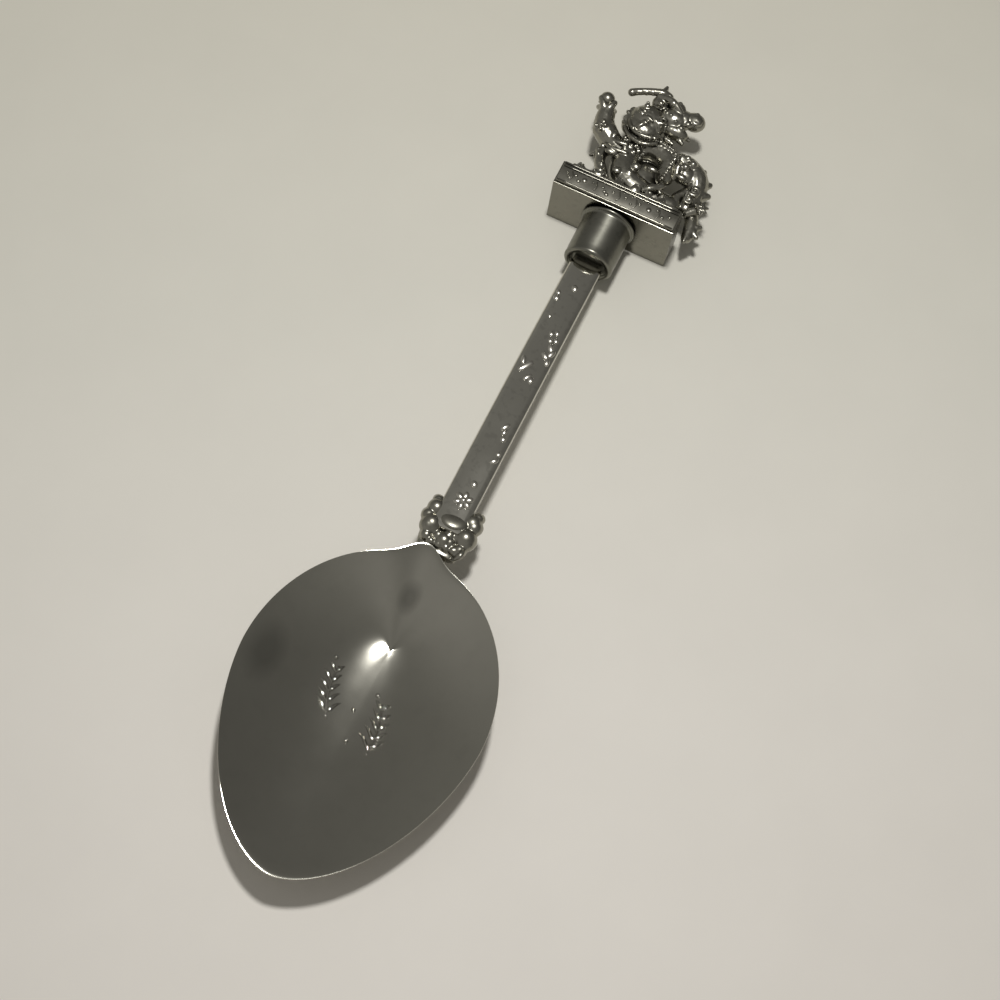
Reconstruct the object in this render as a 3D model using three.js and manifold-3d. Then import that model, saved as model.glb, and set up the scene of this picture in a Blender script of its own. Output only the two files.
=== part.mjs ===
// Souvenir spoon with a cast guardian-dragon finial.
// Millimetres. +X runs from the bowl tip to the top of the finial, +Z out of the bowl,
// Y across. The origin is on the table surface, under the middle of the whole spoon.

import * as THREE from 'three';
import { mergeVertices } from 'three/addons/utils/BufferGeometryUtils.js';
import Module from 'manifold-3d';

const wasm = await Module();
wasm.setup();

// ---------------------------------------------------------------- driving dimensions

const SOLDER_GAP = 0.12; // left between pieces that are soldered together
const CAST_GAP = 0.18; // left between the cast pieces of the figure

const BOWL_LENGTH = 44;
const BOWL_WIDTH = 31.4;
const BOWL_HEIGHT = 6.4; // rim above the table, at the widest place
const BOWL_RIM_RISE = 0.65; // rim is this much higher at the neck and lower at the tip
const BOWL_WALL = 0.8;
const BOWL_RIM_WIDTH = 0.9;
const BOWL_NECK_REACH = 19.6; // from the widest place to the neck end
const BOWL_SHOULDER = 0.8; // part of that reach that is the narrow shoulder under the neck
const BOWL_SHOULDER_WIDTH = 2.6;
const BOWL_REST_SHARE = 0.16; // share of the outline that is worn flat underneath
const TIP_FULLNESS = 1.72; // superellipse powers of the rim outline
const NECK_FULLNESS = 1.97;
const BOWL_CURVE = 2.2; // power of the bowl's cross section
const BOWL_DEEPEST_SHIFT = 3.0; // deepest place lies this much nearer the neck than the widest
const BOWL_RING_COUNT = 9;
const BOWL_SIDES = 48;

const HEEL_WIDTH = 2.8; // tongue behind the bowl that carries the neck mount
const HEEL_THICKNESS = 0.9;
const HEEL_ROOT = 3.2; // how far it reaches back under the bowl
const HEEL_OVERHANG = 5.0;

const NECK_LENGTH = 7.2;
const NECK_HALF_WIDTH = 3.1;
const NECK_THICKNESS = 2.5;
const NECK_POCKET_FLOOR = 0.7; // metal left under the stem's end
const NECK_BEAD_RADIUS = 0.78;
const NECK_BEAD_COUNT = 9;
const NECK_WAIST = 0.62; // share of the half width left at both ends of the mount

const STEM_LENGTH = 39.6; // seen between the neck mount and the ferrule
const STEM_WIDTH = 4.3;
const STEM_THICKNESS = 1.9;
const STEM_SEAT = 4.0; // length that lies in the neck mount's pocket
const STEM_ARCH = 0.5; // rise of the stem's middle above a straight line
const STEM_EDGE_ROUND = 0.25;
const TANG_LENGTH = 5.2; // length inside the ferrule
const TANG_CLEARANCE = 0.3;

const FERRULE_LENGTH = 7.2;
const FERRULE_DIAMETER = 6.8;
const FERRULE_WALL = 0.75;
const FERRULE_FLOOR = 1.2;
const FERRULE_FLANGE = 0.7; // how far the foot ring stands out around the tube
const FERRULE_FLANGE_THICKNESS = 0.5;

const PLINTH_THICKNESS = 3.6;
const PLINTH_WIDTH = 17.2;
const PLINTH_DEPTH = 9.0;
const BAND_THICKNESS = 0.45;
const BAND_MARGIN = 0.25;
const BAND_LINE = 0.3;
const STUD_COUNT = 7;
const STUD_RADIUS = 0.36;

const FIGURE_HEIGHT = 18.4;
const FIGURE_MODEL_HEIGHT = 18.9; // height at which the figure's own points are given
const PEG_RADIUS = 0.9; // locating pegs under the figure, at model height
const PEG_LENGTH = 1.6;
const PEG_OFFSET = 4.6;
const PEG_CLEARANCE = 0.12;

const LIMB_SIDES = 10; // facets around a limb, and around a toe or spine
const TOE_SIDES = 6;

const SILVER = { color: 0x8d8a7c, roughness: 0.28, metalness: 1.0 };
const DARK_SILVER = { color: 0x6f6c5f, roughness: 0.36, metalness: 1.0 };

// ---------------------------------------------------------------- stations along the spoon

const TOTAL_LENGTH =
  BOWL_LENGTH + NECK_LENGTH + STEM_LENGTH + FERRULE_LENGTH + PLINTH_THICKNESS + FIGURE_HEIGHT;
const TIP_X = -TOTAL_LENGTH / 2;
const BOWL_END_X = TIP_X + BOWL_LENGTH;
const BOWL_CENTRE_X = BOWL_END_X - BOWL_NECK_REACH;
const NECK_END_X = BOWL_END_X + NECK_LENGTH;
const FERRULE_X = NECK_END_X + STEM_LENGTH;
const PLINTH_X = FERRULE_X + FERRULE_LENGTH;
const FIGURE_X = PLINTH_X + PLINTH_THICKNESS;
const AXIS_Z = PLINTH_DEPTH / 2; // height of the ferrule's axis

const NECK_RIM_Z = BOWL_HEIGHT + BOWL_RIM_RISE;
const NECK_TOP_Z = NECK_RIM_Z + 0.4;
const NECK_FLOOR_Z = NECK_TOP_Z - NECK_THICKNESS;
const STEM_NECK_Z = NECK_FLOOR_Z + NECK_POCKET_FLOOR + SOLDER_GAP; // underside of the seated end
const HEEL_TOP_Z = NECK_FLOOR_Z - SOLDER_GAP;

const FIGURE_SCALE = FIGURE_HEIGHT / FIGURE_MODEL_HEIGHT;

// ---------------------------------------------------------------- solid helpers

// Closed three.js geometry -> manifold solid.
function solid(geometry) {
  const bare = geometry.clone();
  bare.deleteAttribute('normal');
  bare.deleteAttribute('uv');
  const merged = mergeVertices(bare, 1e-4);
  return new wasm.Manifold(new wasm.Mesh({
    numProp: 3,
    vertProperties: new Float32Array(merged.attributes.position.array),
    triVerts: new Uint32Array(merged.index.array),
  }));
}

// Manifold solid -> three.js geometry.
function geometryOf(body) {
  const mesh = body.getMesh();
  const geometry = new THREE.BufferGeometry();
  geometry.setAttribute('position', new THREE.BufferAttribute(new Float32Array(mesh.vertProperties), 3));
  geometry.setIndex(new THREE.BufferAttribute(new Uint32Array(mesh.triVerts), 1));
  geometry.computeVertexNormals();
  return geometry;
}

function join(bodies) {
  return bodies.reduce((whole, body) => whole.add(body));
}

function cut(body, tools) {
  return tools.reduce((rest, tool) => rest.subtract(tool), body);
}

// Box given by its lowest and highest corners.
function block(low, high) {
  const geometry = new THREE.BoxGeometry(high[0] - low[0], high[1] - low[1], high[2] - low[2]);
  geometry.translate((high[0] + low[0]) / 2, (high[1] + low[1]) / 2, (high[2] + low[2]) / 2);
  return solid(geometry);
}

// Cylinder along X.
function rodX(fromX, toX, radius, y, z, sides = 32) {
  const geometry = new THREE.CylinderGeometry(radius, radius, toX - fromX, sides);
  geometry.rotateZ(Math.PI / 2);
  geometry.translate((fromX + toX) / 2, y, z);
  return solid(geometry);
}

// Ellipsoid: centre and three half axes.
function egg(centre, half, around = 14, down = 8) {
  const geometry = new THREE.SphereGeometry(1, around, down);
  geometry.scale(half[0], half[1], half[2]);
  geometry.translate(centre[0], centre[1], centre[2]);
  return solid(geometry);
}

// Tapering limb through points [x, y, z, radius]: a row of balls joined by cones.
function limb(points, grow = 0, around = LIMB_SIDES) {
  const parts = [];
  const rows = around / 2;
  points.forEach((point, index) => {
    const here = new THREE.Vector3(point[0], point[1], point[2]);
    const radius = point[3] + grow;
    parts.push(egg(point, [radius, radius, radius], around, rows));
    if (index === points.length - 1) {
      return;
    }
    const next = points[index + 1];
    const there = new THREE.Vector3(next[0], next[1], next[2]);
    const run = there.clone().sub(here);
    const cone = new THREE.CylinderGeometry(next[3] + grow, radius, run.length(), around);
    cone.applyQuaternion(new THREE.Quaternion().setFromUnitVectors(
      new THREE.Vector3(0, 1, 0), run.clone().normalize()));
    cone.translate((here.x + there.x) / 2, (here.y + there.y) / 2, (here.z + there.z) / 2);
    parts.push(solid(cone));
  });
  return join(parts);
}

// Plan outline in X-Y, extruded upwards from low to high.
function plate(outline, low, high) {
  const geometry = new THREE.ExtrudeGeometry(
    outline, { depth: high - low, bevelEnabled: false, curveSegments: 10 });
  geometry.translate(0, 0, low);
  return solid(geometry);
}

// ---------------------------------------------------------------- bowl

// Distance from the bowl's deepest point to its outline, in direction angle: an egg of two
// half superellipses, with a small shoulder that runs out towards the neck.
function outlineReach(angle, inset) {
  const towardsNeck = Math.cos(angle) > 0;
  const reach = towardsNeck ? BOWL_NECK_REACH - BOWL_SHOULDER : BOWL_LENGTH - BOWL_NECK_REACH;
  const length = reach - inset;
  const halfWidth = BOWL_WIDTH / 2 - inset;
  const power = towardsNeck ? NECK_FULLNESS : TIP_FULLNESS;
  const alongShare = Math.pow(Math.abs(Math.cos(angle)) / length, power);
  const acrossShare = Math.pow(Math.abs(Math.sin(angle)) / halfWidth, power);
  const distance = Math.pow(alongShare + acrossShare, -1 / power);
  const aside = distance * Math.sin(angle) / BOWL_SHOULDER_WIDTH;
  return distance + (towardsNeck ? BOWL_SHOULDER * Math.exp(-aside * aside) : 0);
}

// Climb of the bowl's surface at each ring, from the flat underside to the rim.
function bowlRings() {
  const rings = [];
  for (let ring = 0; ring <= BOWL_RING_COUNT; ring += 1) {
    rings.push({
      share: BOWL_REST_SHARE + (1 - BOWL_REST_SHARE) * ring / BOWL_RING_COUNT,
      climb: Math.pow(ring / BOWL_RING_COUNT, BOWL_CURVE),
    });
  }
  return rings;
}

// Lathe of unit radius stretched to the bowl's outline. Each station of the profile has its
// share of the outline, its height, and how far it is set in from the outline.
function stretchedLathe(stations) {
  const profile = stations.map((station) => new THREE.Vector2(station.share, station.height));
  const geometry = new THREE.LatheGeometry(profile, BOWL_SIDES);
  geometry.rotateX(Math.PI / 2);
  const places = geometry.attributes.position;
  for (let index = 0; index < places.count; index += 1) {
    const station = stations[index % stations.length];
    const angle = Math.atan2(places.getY(index), places.getX(index));
    const reach = station.share * outlineReach(angle, station.inset);
    const rise = 1 + station.share * BOWL_RIM_RISE * Math.cos(angle) / BOWL_HEIGHT;
    places.setXYZ(
      index,
      BOWL_CENTRE_X + BOWL_DEEPEST_SHIFT * (1 - station.share) + reach * Math.cos(angle),
      reach * Math.sin(angle),
      station.height * rise);
  }
  return solid(geometry);
}

function bowlShell() {
  const rings = bowlRings();
  const outside = rings.map(({ share, climb }) => ({ share, height: BOWL_HEIGHT * climb, inset: 0 }));
  const inside = rings.slice(0, -1).map(({ share, climb }) => ({
    share, height: BOWL_WALL + (BOWL_HEIGHT - BOWL_WALL) * climb, inset: BOWL_RIM_WIDTH,
  }));
  const lip = { share: 1, height: BOWL_HEIGHT, inset: BOWL_RIM_WIDTH };
  return stretchedLathe([
    { share: 0, height: 0, inset: 0 }, ...outside, lip, ...inside.reverse(),
    { share: 0, height: BOWL_WALL, inset: 0 },
  ]);
}

// Everything inside the bowl's outline, up to well above its rim.
function bowlRoom(grow) {
  const top = { share: 1, height: BOWL_HEIGHT + 4, inset: -grow };
  const outside = bowlRings().map(({ share, climb }) => ({
    share, height: BOWL_HEIGHT * climb - grow, inset: -grow,
  }));
  return stretchedLathe([
    { share: 0, height: -grow, inset: 0 }, ...outside, top, { ...top, share: 0 },
  ]);
}

function bowlSolid() {
  const heel = block(
    [BOWL_END_X - HEEL_ROOT, -HEEL_WIDTH / 2, HEEL_TOP_Z - HEEL_THICKNESS],
    [BOWL_END_X + HEEL_OVERHANG, HEEL_WIDTH / 2, HEEL_TOP_Z]);
  return bowlShell().add(heel.subtract(bowlRoom(-BOWL_WALL / 2)));
}

// ---------------------------------------------------------------- neck mount

const POCKET_START_X = NECK_END_X - STEM_SEAT;

function neckOutline() {
  const start = BOWL_END_X + SOLDER_GAP;
  const waist = NECK_HALF_WIDTH * NECK_WAIST;
  const outline = new THREE.Shape();
  outline.moveTo(start, -waist);
  outline.quadraticCurveTo(start + 0.6, -NECK_HALF_WIDTH, start + NECK_LENGTH * 0.4, -NECK_HALF_WIDTH);
  outline.quadraticCurveTo(NECK_END_X - 1.2, -NECK_HALF_WIDTH, NECK_END_X, -waist);
  outline.lineTo(NECK_END_X, waist);
  outline.quadraticCurveTo(NECK_END_X - 1.2, NECK_HALF_WIDTH, start + NECK_LENGTH * 0.4, NECK_HALF_WIDTH);
  outline.quadraticCurveTo(start + 0.6, NECK_HALF_WIDTH, start, waist);
  outline.closePath();
  return outline;
}

// Stem's seated end and its room, wider by grow on every side.
function stemPocket(grow) {
  return block(
    [POCKET_START_X - grow, -STEM_WIDTH / 2 - grow, STEM_NECK_Z - grow],
    [NECK_END_X + 5, STEM_WIDTH / 2 + grow, STEM_NECK_Z + STEM_THICKNESS + 5]);
}

function neckSolid() {
  const parts = [plate(neckOutline(), NECK_FLOOR_Z, NECK_TOP_Z)];
  for (let bead = 0; bead < NECK_BEAD_COUNT; bead += 1) {
    const turn = Math.PI * (0.22 + 1.56 * bead / (NECK_BEAD_COUNT - 1)); // open towards the stem
    const x = BOWL_END_X + NECK_LENGTH * 0.52 + Math.cos(turn) * NECK_LENGTH * 0.42;
    const y = Math.sin(turn) * (NECK_HALF_WIDTH - 0.25);
    const radius = NECK_BEAD_RADIUS;
    parts.push(egg([x, y, NECK_TOP_Z - 0.3], [radius, radius, radius], 10, 6));
  }
  return cut(join(parts), [stemPocket(SOLDER_GAP), bowlRoom(SOLDER_GAP)]);
}

// ---------------------------------------------------------------- stem

const BORE_RADIUS = FERRULE_DIAMETER / 2 - FERRULE_WALL;
const TANG_ROOM = BORE_RADIUS - TANG_CLEARANCE;
const TANG_WIDTH_IN_BORE = 2 * Math.sqrt(TANG_ROOM ** 2 - (STEM_THICKNESS / 2) ** 2);

// Side view of the stem in X-Z, extruded across the spoon.
function stemSolid() {
  const round = STEM_EDGE_ROUND;
  const low = STEM_NECK_Z + round;
  const lowEnd = AXIS_Z - STEM_THICKNESS / 2 + round;
  const rise = STEM_THICKNESS - 2 * round;
  const startX = POCKET_START_X + round;
  const middleX = (NECK_END_X + FERRULE_X) / 2;
  const middleZ = (low + lowEnd) / 2 + 2 * STEM_ARCH;
  const side = new THREE.Shape();
  side.moveTo(startX, low);
  side.lineTo(NECK_END_X, low);
  side.quadraticCurveTo(middleX, middleZ, FERRULE_X, lowEnd);
  side.lineTo(FERRULE_X, lowEnd + rise);
  side.quadraticCurveTo(middleX, middleZ + rise, NECK_END_X, low + rise);
  side.lineTo(startX, low + rise);
  side.closePath();
  const bar = new THREE.ExtrudeGeometry(side, {
    depth: STEM_WIDTH - 2 * round,
    bevelThickness: round,
    bevelSize: round,
    bevelSegments: 2,
    curveSegments: 18,
  });
  bar.rotateX(Math.PI / 2);
  bar.translate(0, STEM_WIDTH / 2 - round, 0);
  const tangHalf = Math.min(STEM_WIDTH, TANG_WIDTH_IN_BORE) / 2;
  const tang = block(
    [FERRULE_X - 1, -tangHalf, AXIS_Z - STEM_THICKNESS / 2 + round],
    [FERRULE_X + TANG_LENGTH, tangHalf, AXIS_Z + STEM_THICKNESS / 2 - round]);
  const bareEnd = block(
    [FERRULE_X - round, -STEM_WIDTH, AXIS_Z - STEM_THICKNESS],
    [FERRULE_X + 1, STEM_WIDTH, AXIS_Z + STEM_THICKNESS]);
  return solid(bar).subtract(bareEnd).add(tang);
}

// ---------------------------------------------------------------- ferrule

function ferruleSolid() {
  const radius = FERRULE_DIAMETER / 2;
  const end = FERRULE_LENGTH - SOLDER_GAP;
  const chamfer = 0.25;
  const points = [
    [0, FERRULE_LENGTH - FERRULE_FLOOR],
    [BORE_RADIUS, FERRULE_LENGTH - FERRULE_FLOOR],
    [BORE_RADIUS, chamfer],
    [BORE_RADIUS + chamfer, 0],
    [radius - chamfer, 0],
    [radius, chamfer],
    [radius, end - FERRULE_FLANGE_THICKNESS - FERRULE_FLANGE],
    [radius + FERRULE_FLANGE, end - FERRULE_FLANGE_THICKNESS],
    [radius + FERRULE_FLANGE, end],
    [0, end],
  ];
  const profile = points.map(([across, along]) => new THREE.Vector2(across, along));
  profile.push(profile[0].clone());
  const geometry = new THREE.LatheGeometry(profile, 40);
  geometry.rotateZ(-Math.PI / 2);
  geometry.translate(FERRULE_X, 0, AXIS_Z);
  return solid(geometry);
}

// ---------------------------------------------------------------- plinth and its front band

function plinthSolid() {
  const core = block(
    [PLINTH_X, -PLINTH_WIDTH / 2, 0],
    [FIGURE_X, PLINTH_WIDTH / 2, PLINTH_DEPTH - BAND_THICKNESS - SOLDER_GAP]);
  const pegHoles = [-1, 1].map((side) => rodX(
    FIGURE_X - PEG_LENGTH * FIGURE_SCALE - PEG_CLEARANCE, FIGURE_X + 1,
    PEG_RADIUS * FIGURE_SCALE + PEG_CLEARANCE, side * PEG_OFFSET * FIGURE_SCALE, AXIS_Z, 20));
  return cut(core, pegHoles);
}

function frontBandSolid() {
  const lowX = PLINTH_X + BAND_MARGIN;
  const highX = FIGURE_X - BAND_MARGIN;
  const halfWidth = PLINTH_WIDTH / 2 - BAND_MARGIN;
  const floorZ = PLINTH_DEPTH - BAND_THICKNESS;
  const fieldZ = PLINTH_DEPTH - BAND_LINE / 2;
  const parts = [block([lowX, -halfWidth, floorZ], [highX, halfWidth, fieldZ])];
  [lowX, highX - BAND_LINE, highX - 2.6 * BAND_LINE].forEach((x) => {
    parts.push(block([x, -halfWidth, floorZ + 0.05], [x + BAND_LINE, halfWidth, PLINTH_DEPTH]));
  });
  const rowX = (lowX + highX) / 2 - BAND_LINE / 2;
  for (let stud = 0; stud < STUD_COUNT; stud += 1) {
    const y = (stud / (STUD_COUNT - 1) - 0.5) * (2 * halfWidth - 3);
    parts.push(egg([rowX, y, fieldZ - 0.1], [STUD_RADIUS, STUD_RADIUS, 0.1 + BAND_LINE / 2], 10, 6));
  }
  return join(parts);
}

// ---------------------------------------------------------------- finial figure
// Own origin: middle of the plinth's top face. X is up the figure, Z its front.

// Torso: a coiled S from the tail root, over the arched neck, to the chest curl.
const TORSO = [
  [2.5, -6.2, 0.0, 1.5],
  [2.4, -2.6, 0.4, 1.8],
  [3.4, 0.8, 0.5, 2.0],
  [6.2, 1.9, 0.1, 2.0],
  [8.9, 1.7, 0.0, 1.9],
  [9.9, -1.0, 0.3, 1.7],
  [8.5, -3.5, 0.8, 1.5],
  [5.9, -4.0, 1.0, 1.3],
];

const NECK = [
  [8.9, 1.7, 0.0, 1.9],
  [11.8, 2.3, 0.7, 1.6],
];

const RAISED_LEG = [
  [7.6, 4.2, 0.6, 1.5],
  [9.2, 6.1, 1.0, 1.6],
  [11.2, 7.0, 1.6, 1.3],
];

const STANDING_LEG = [
  [6.8, 5.0, 0.4, 0.9],
  [4.6, 5.1, 0.8, 0.85],
  [2.5, 4.0, 1.2, 0.8],
  [1.35, 3.9, 1.9, 0.8],
];

const TAIL = [
  [3.3, -8.4, -0.2, 1.2],
  [5.8, -8.7, -0.2, 1.4],
  [8.0, -8.2, 0.0, 1.7],
  [9.4, -6.5, 0.4, 1.1],
];

const HORN = [
  [15.9, 5.2, 2.3, 0.42],
  [17.0, 3.2, 2.4, 0.5],
  [17.6, 1.2, 2.3, 0.6],
];

const HORN_SPIKE = [
  [17.5, 1.3, 2.3, 0.6],
  [18.55, 1.2, 2.4, 0.35],
];

const PEARL_CENTRE = [13.2, 7.9, 2.0];
const PEARL_RADIUS = 1.1;

// Slab the figure stands on: lowest and highest corner, and its curls as [y, z, radius].
const CLOUD_LOW = [SOLDER_GAP, -7.7, -3.3];
const CLOUD_HIGH = [0.8, 7.5, 3.3];
const CLOUD_CURLS = [
  [6.5, 1.9, 0.85], [0.9, 2.6, 0.6], [-1.4, 2.7, 0.75], [-5.4, 2.5, 0.7], [-7.0, 1.6, 0.6],
];
const CLOUD_CURL_X = 0.9;

function cloudBase(grow) {
  const parts = [block(CLOUD_LOW.map((side) => side - grow), CLOUD_HIGH.map((side) => side + grow))];
  CLOUD_CURLS.forEach(([y, z, radius]) => {
    parts.push(egg([CLOUD_CURL_X, y, z], [radius + grow, radius + grow, radius + grow], 10, 6));
  });
  return join(parts);
}

function pegs() {
  return join([-1, 1].map((side) => rodX(-PEG_LENGTH, 0.5, PEG_RADIUS, side * PEG_OFFSET, 0, 18)));
}

// Thin web that fills the coil behind the torso: centre and half axes.
const WEB_CENTRE = [5.6, -0.9, -1.2];
const WEB_HALF = [3.9, 3.6, 1.5];

function torso(grow) {
  const web = egg(WEB_CENTRE, WEB_HALF.map((axis) => axis + grow));
  return join([limb(TORSO, grow), limb(NECK, grow), web]);
}

// Skull, muzzle, nose, jaw, brow, ear and crest: centre and half axes of each.
const HEAD_LUMPS = [
  [[13.3, 1.5, 1.0], [2.5, 2.8, 2.6]],
  [[14.9, -1.5, 1.6], [1.8, 2.4, 1.8]],
  [[16.0, -4.0, 1.8], [1.2, 1.5, 1.2]],
  [[13.0, -2.3, 1.4], [0.8, 2.0, 1.3]],
  [[16.2, -0.4, 2.4], [0.9, 1.1, 1.0]],
  [[12.0, 3.9, 0.4], [1.4, 1.2, 1.6]],
  [[16.3, 1.0, 2.0], [1.2, 1.1, 1.0]],
];

function head(grow) {
  return join(HEAD_LUMPS.map(([centre, half]) => egg(centre, half.map((axis) => axis + grow))));
}

function horn(grow) {
  return limb(HORN, grow, TOE_SIDES).add(limb(HORN_SPIKE, grow, TOE_SIDES));
}

function pearl(grow) {
  const radius = PEARL_RADIUS + grow;
  return egg(PEARL_CENTRE, [radius, radius, radius]);
}

// Toes of both forelegs: the paw they grow from, and their tips.
const RAISED_PAW = [11.3, 7.3, 1.7, 0.75];
const RAISED_TOES = [[12.7, 6.6, 2.6], [12.5, 8.4, 2.9], [12.1, 8.6, 1.0]];
const RAISED_TOE_RADIUS = 0.45;
const STANDING_PAW = [1.35, 3.9, 1.9, 0.6];
const STANDING_TOES = [[1.25, 3.0, 2.9], [1.25, 4.0, 2.9], [1.25, 5.0, 2.9]];
const STANDING_TOE_RADIUS = 0.35;

function toes(paw, tips, radius, grow) {
  return join(tips.map((tip) => limb([paw, [...tip, radius]], grow, TOE_SIDES)));
}

function raisedLeg(grow) {
  return limb(RAISED_LEG, grow).add(toes(RAISED_PAW, RAISED_TOES, RAISED_TOE_RADIUS, grow));
}

function standingLeg(grow) {
  return limb(STANDING_LEG, grow).add(toes(STANDING_PAW, STANDING_TOES, STANDING_TOE_RADIUS, grow));
}

// Spines along the tail's outer edge: root and tip of each.
const SPINES = [
  [[8.6, -7.2, 0, 0.8], [10.6, -7.4, 0.1, 0.28]],
  [[8.2, -8.6, 0, 0.8], [9.6, -9.3, 0.1, 0.28]],
  [[6.8, -9.2, 0, 0.8], [7.8, -10.6, 0.1, 0.28]],
  [[5.4, -9.4, 0, 0.8], [5.8, -10.6, 0.1, 0.28]],
];

function tail(grow) {
  return join([limb(TAIL, grow), ...SPINES.map((spine) => limb(spine, grow, TOE_SIDES))]);
}

const HIND_PALM = [3.5, -10.2, 0.9, 0.7];
const HIND_TOES = [[4.6, -10.7, 1.3], [3.6, -11.2, 1.4], [2.5, -10.7, 1.3], [3.3, -9.6, 1.9]];
const HIND_TOE_RADIUS = 0.3;

function hindClaw() {
  return toes(HIND_PALM, HIND_TOES, HIND_TOE_RADIUS, 0);
}

// ---------------------------------------------------------------- scene graph

function named(name, body, finish) {
  const mesh = new THREE.Mesh(geometryOf(body), new THREE.MeshStandardMaterial(finish));
  mesh.name = name;
  return mesh;
}

const spoon = new THREE.Group();
spoon.add(
  named('spoon_bowl', bowlSolid(), SILVER),
  named('neck_mount', neckSolid(), SILVER),
  named('stem', stemSolid(), SILVER),
  named('ferrule', ferruleSolid(), SILVER),
  named('plinth', plinthSolid(), SILVER),
  named('front_band', frontBandSolid(), DARK_SILVER),
);

const figure = new THREE.Group();
figure.position.set(FIGURE_X, 0, AXIS_Z);
figure.scale.setScalar(FIGURE_SCALE);
const gap = CAST_GAP;
figure.add(
  named('cloud_base', cloudBase(0).add(pegs()), DARK_SILVER),
  named('dragon_body', cut(torso(0), [cloudBase(gap)]), SILVER),
  named('dragon_head', cut(head(0), [torso(gap)]), SILVER),
  named('dragon_horn', cut(horn(0), [head(gap)]), SILVER),
  named('raised_foreleg', cut(raisedLeg(0), [torso(gap), head(gap), pearl(gap)]), SILVER),
  named('standing_foreleg', cut(standingLeg(0), [torso(gap), cloudBase(gap), raisedLeg(gap)]), SILVER),
  named('dragon_tail', cut(tail(0), [torso(gap), cloudBase(gap)]), SILVER),
  named('hind_claw', cut(hindClaw(), [tail(gap), cloudBase(gap)]), SILVER),
  named('pearl', pearl(0), SILVER),
);
spoon.add(figure);

export default spoon;
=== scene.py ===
"""Souvenir spoon with a cast guardian-dragon finial: looks, light and camera.

Lengths in this file are in millimetres unless a name ends in _M; MM turns them into Blender's metres.
+X runs from the bowl tip to the top of the finial, +Z up out of the bowl.
"""

import math

import bmesh
import bpy
import numpy as np
from mathutils import Matrix, Vector, noise
from mathutils.bvhtree import BVHTree


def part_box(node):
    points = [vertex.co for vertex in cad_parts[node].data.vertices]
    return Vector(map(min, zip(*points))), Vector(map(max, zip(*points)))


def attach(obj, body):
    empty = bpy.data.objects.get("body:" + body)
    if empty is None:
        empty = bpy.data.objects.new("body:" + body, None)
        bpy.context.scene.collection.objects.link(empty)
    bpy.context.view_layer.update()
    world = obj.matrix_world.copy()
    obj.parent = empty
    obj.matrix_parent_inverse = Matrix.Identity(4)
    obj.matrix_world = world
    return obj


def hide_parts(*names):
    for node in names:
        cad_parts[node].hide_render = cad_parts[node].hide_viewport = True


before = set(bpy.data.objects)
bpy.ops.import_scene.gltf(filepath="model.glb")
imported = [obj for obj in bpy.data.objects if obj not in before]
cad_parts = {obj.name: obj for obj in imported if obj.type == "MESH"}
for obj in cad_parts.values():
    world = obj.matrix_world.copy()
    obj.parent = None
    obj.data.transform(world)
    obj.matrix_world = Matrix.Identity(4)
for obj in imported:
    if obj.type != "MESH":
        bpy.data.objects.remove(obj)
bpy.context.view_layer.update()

MM = 0.001


def node_box(node):
    """Lowest and highest corner of a CAD node, in millimetres."""
    low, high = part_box(node)
    return np.array(low) / MM, np.array(high) / MM


# ------------------------ places read from the frame

bowl_low, bowl_high = node_box("spoon_bowl")
neck_low, neck_high = node_box("neck_mount")
stem_low, stem_high = node_box("stem")
ferrule_low, ferrule_high = node_box("ferrule")
plinth_low, plinth_high = node_box("plinth")
band_low, band_high = node_box("front_band")

SOLDER_GAP = 0.12
TIP_X = bowl_low[0]
BOWL_END_X = neck_low[0] - SOLDER_GAP
NECK_END_X = neck_high[0]
FERRULE_X = ferrule_low[0]
FIGURE_X = plinth_high[0]
AXIS_Z = (ferrule_low[2] + ferrule_high[2]) / 2
FIGURE_MODEL_HEIGHT = 18.9
FIGURE_SCALE = (-TIP_X - FIGURE_X) / FIGURE_MODEL_HEIGHT


# ------------------------ mesh helpers

class Shape:
    """Points and faces of a piece, in millimetres, gathered from lofts and balls."""

    def __init__(self):
        self.points, self.faces, self.count = [], [], 0

    def add(self, points, faces):
        points = np.asarray(points, float).reshape(-1, 3)
        self.points.append(points)
        self.faces.extend(tuple(index + self.count for index in face) for face in faces)
        self.count += len(points)


def new_object(name, shape):
    """Links a Shape as an object. Its mesh stays in millimetres until finish_piece."""
    mesh = bpy.data.meshes.new(name)
    mesh.from_pydata(np.vstack(shape.points).tolist(), [], shape.faces)
    bm = bmesh.new()
    bm.from_mesh(mesh)
    bmesh.ops.remove_doubles(bm, verts=bm.verts, dist=1e-4)
    bmesh.ops.recalc_face_normals(bm, faces=bm.faces)
    bm.to_mesh(mesh)
    bm.free()
    mesh.polygons.foreach_set("use_smooth", [True] * len(mesh.polygons))
    obj = bpy.data.objects.new(name, mesh)
    bpy.context.scene.collection.objects.link(obj)
    return obj


def apply_modifiers(obj):
    """Replaces an object's mesh by what its modifiers make of it."""
    graph = bpy.context.evaluated_depsgraph_get()
    graph.update()
    made = bpy.data.meshes.new_from_object(obj.evaluated_get(graph))
    obj.modifiers.clear()
    obj.data = made


def loft(shape, rings):
    """Skin through closed rings of points, its ends closed by fans."""
    count = len(rings[0])
    rows = np.array([[tuple(point) for point in ring] for ring in rings], float)
    points = rows.reshape(-1, 3)
    faces = []
    for row in range(len(rows) - 1):
        base, above = row * count, (row + 1) * count
        for index in range(count):
            after = (index + 1) % count
            faces.append((base + index, base + after, above + after, above + index))
    last = (len(rows) - 1) * count
    points = np.vstack([points, rows[0].mean(axis=0), rows[-1].mean(axis=0)])
    middle, top = len(points) - 2, len(points) - 1
    for index in range(count):
        after = (index + 1) % count
        faces.append((middle, after, index))
        faces.append((top, last + index, last + after))
    shape.add(points, faces)


BALLS = {}


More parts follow.
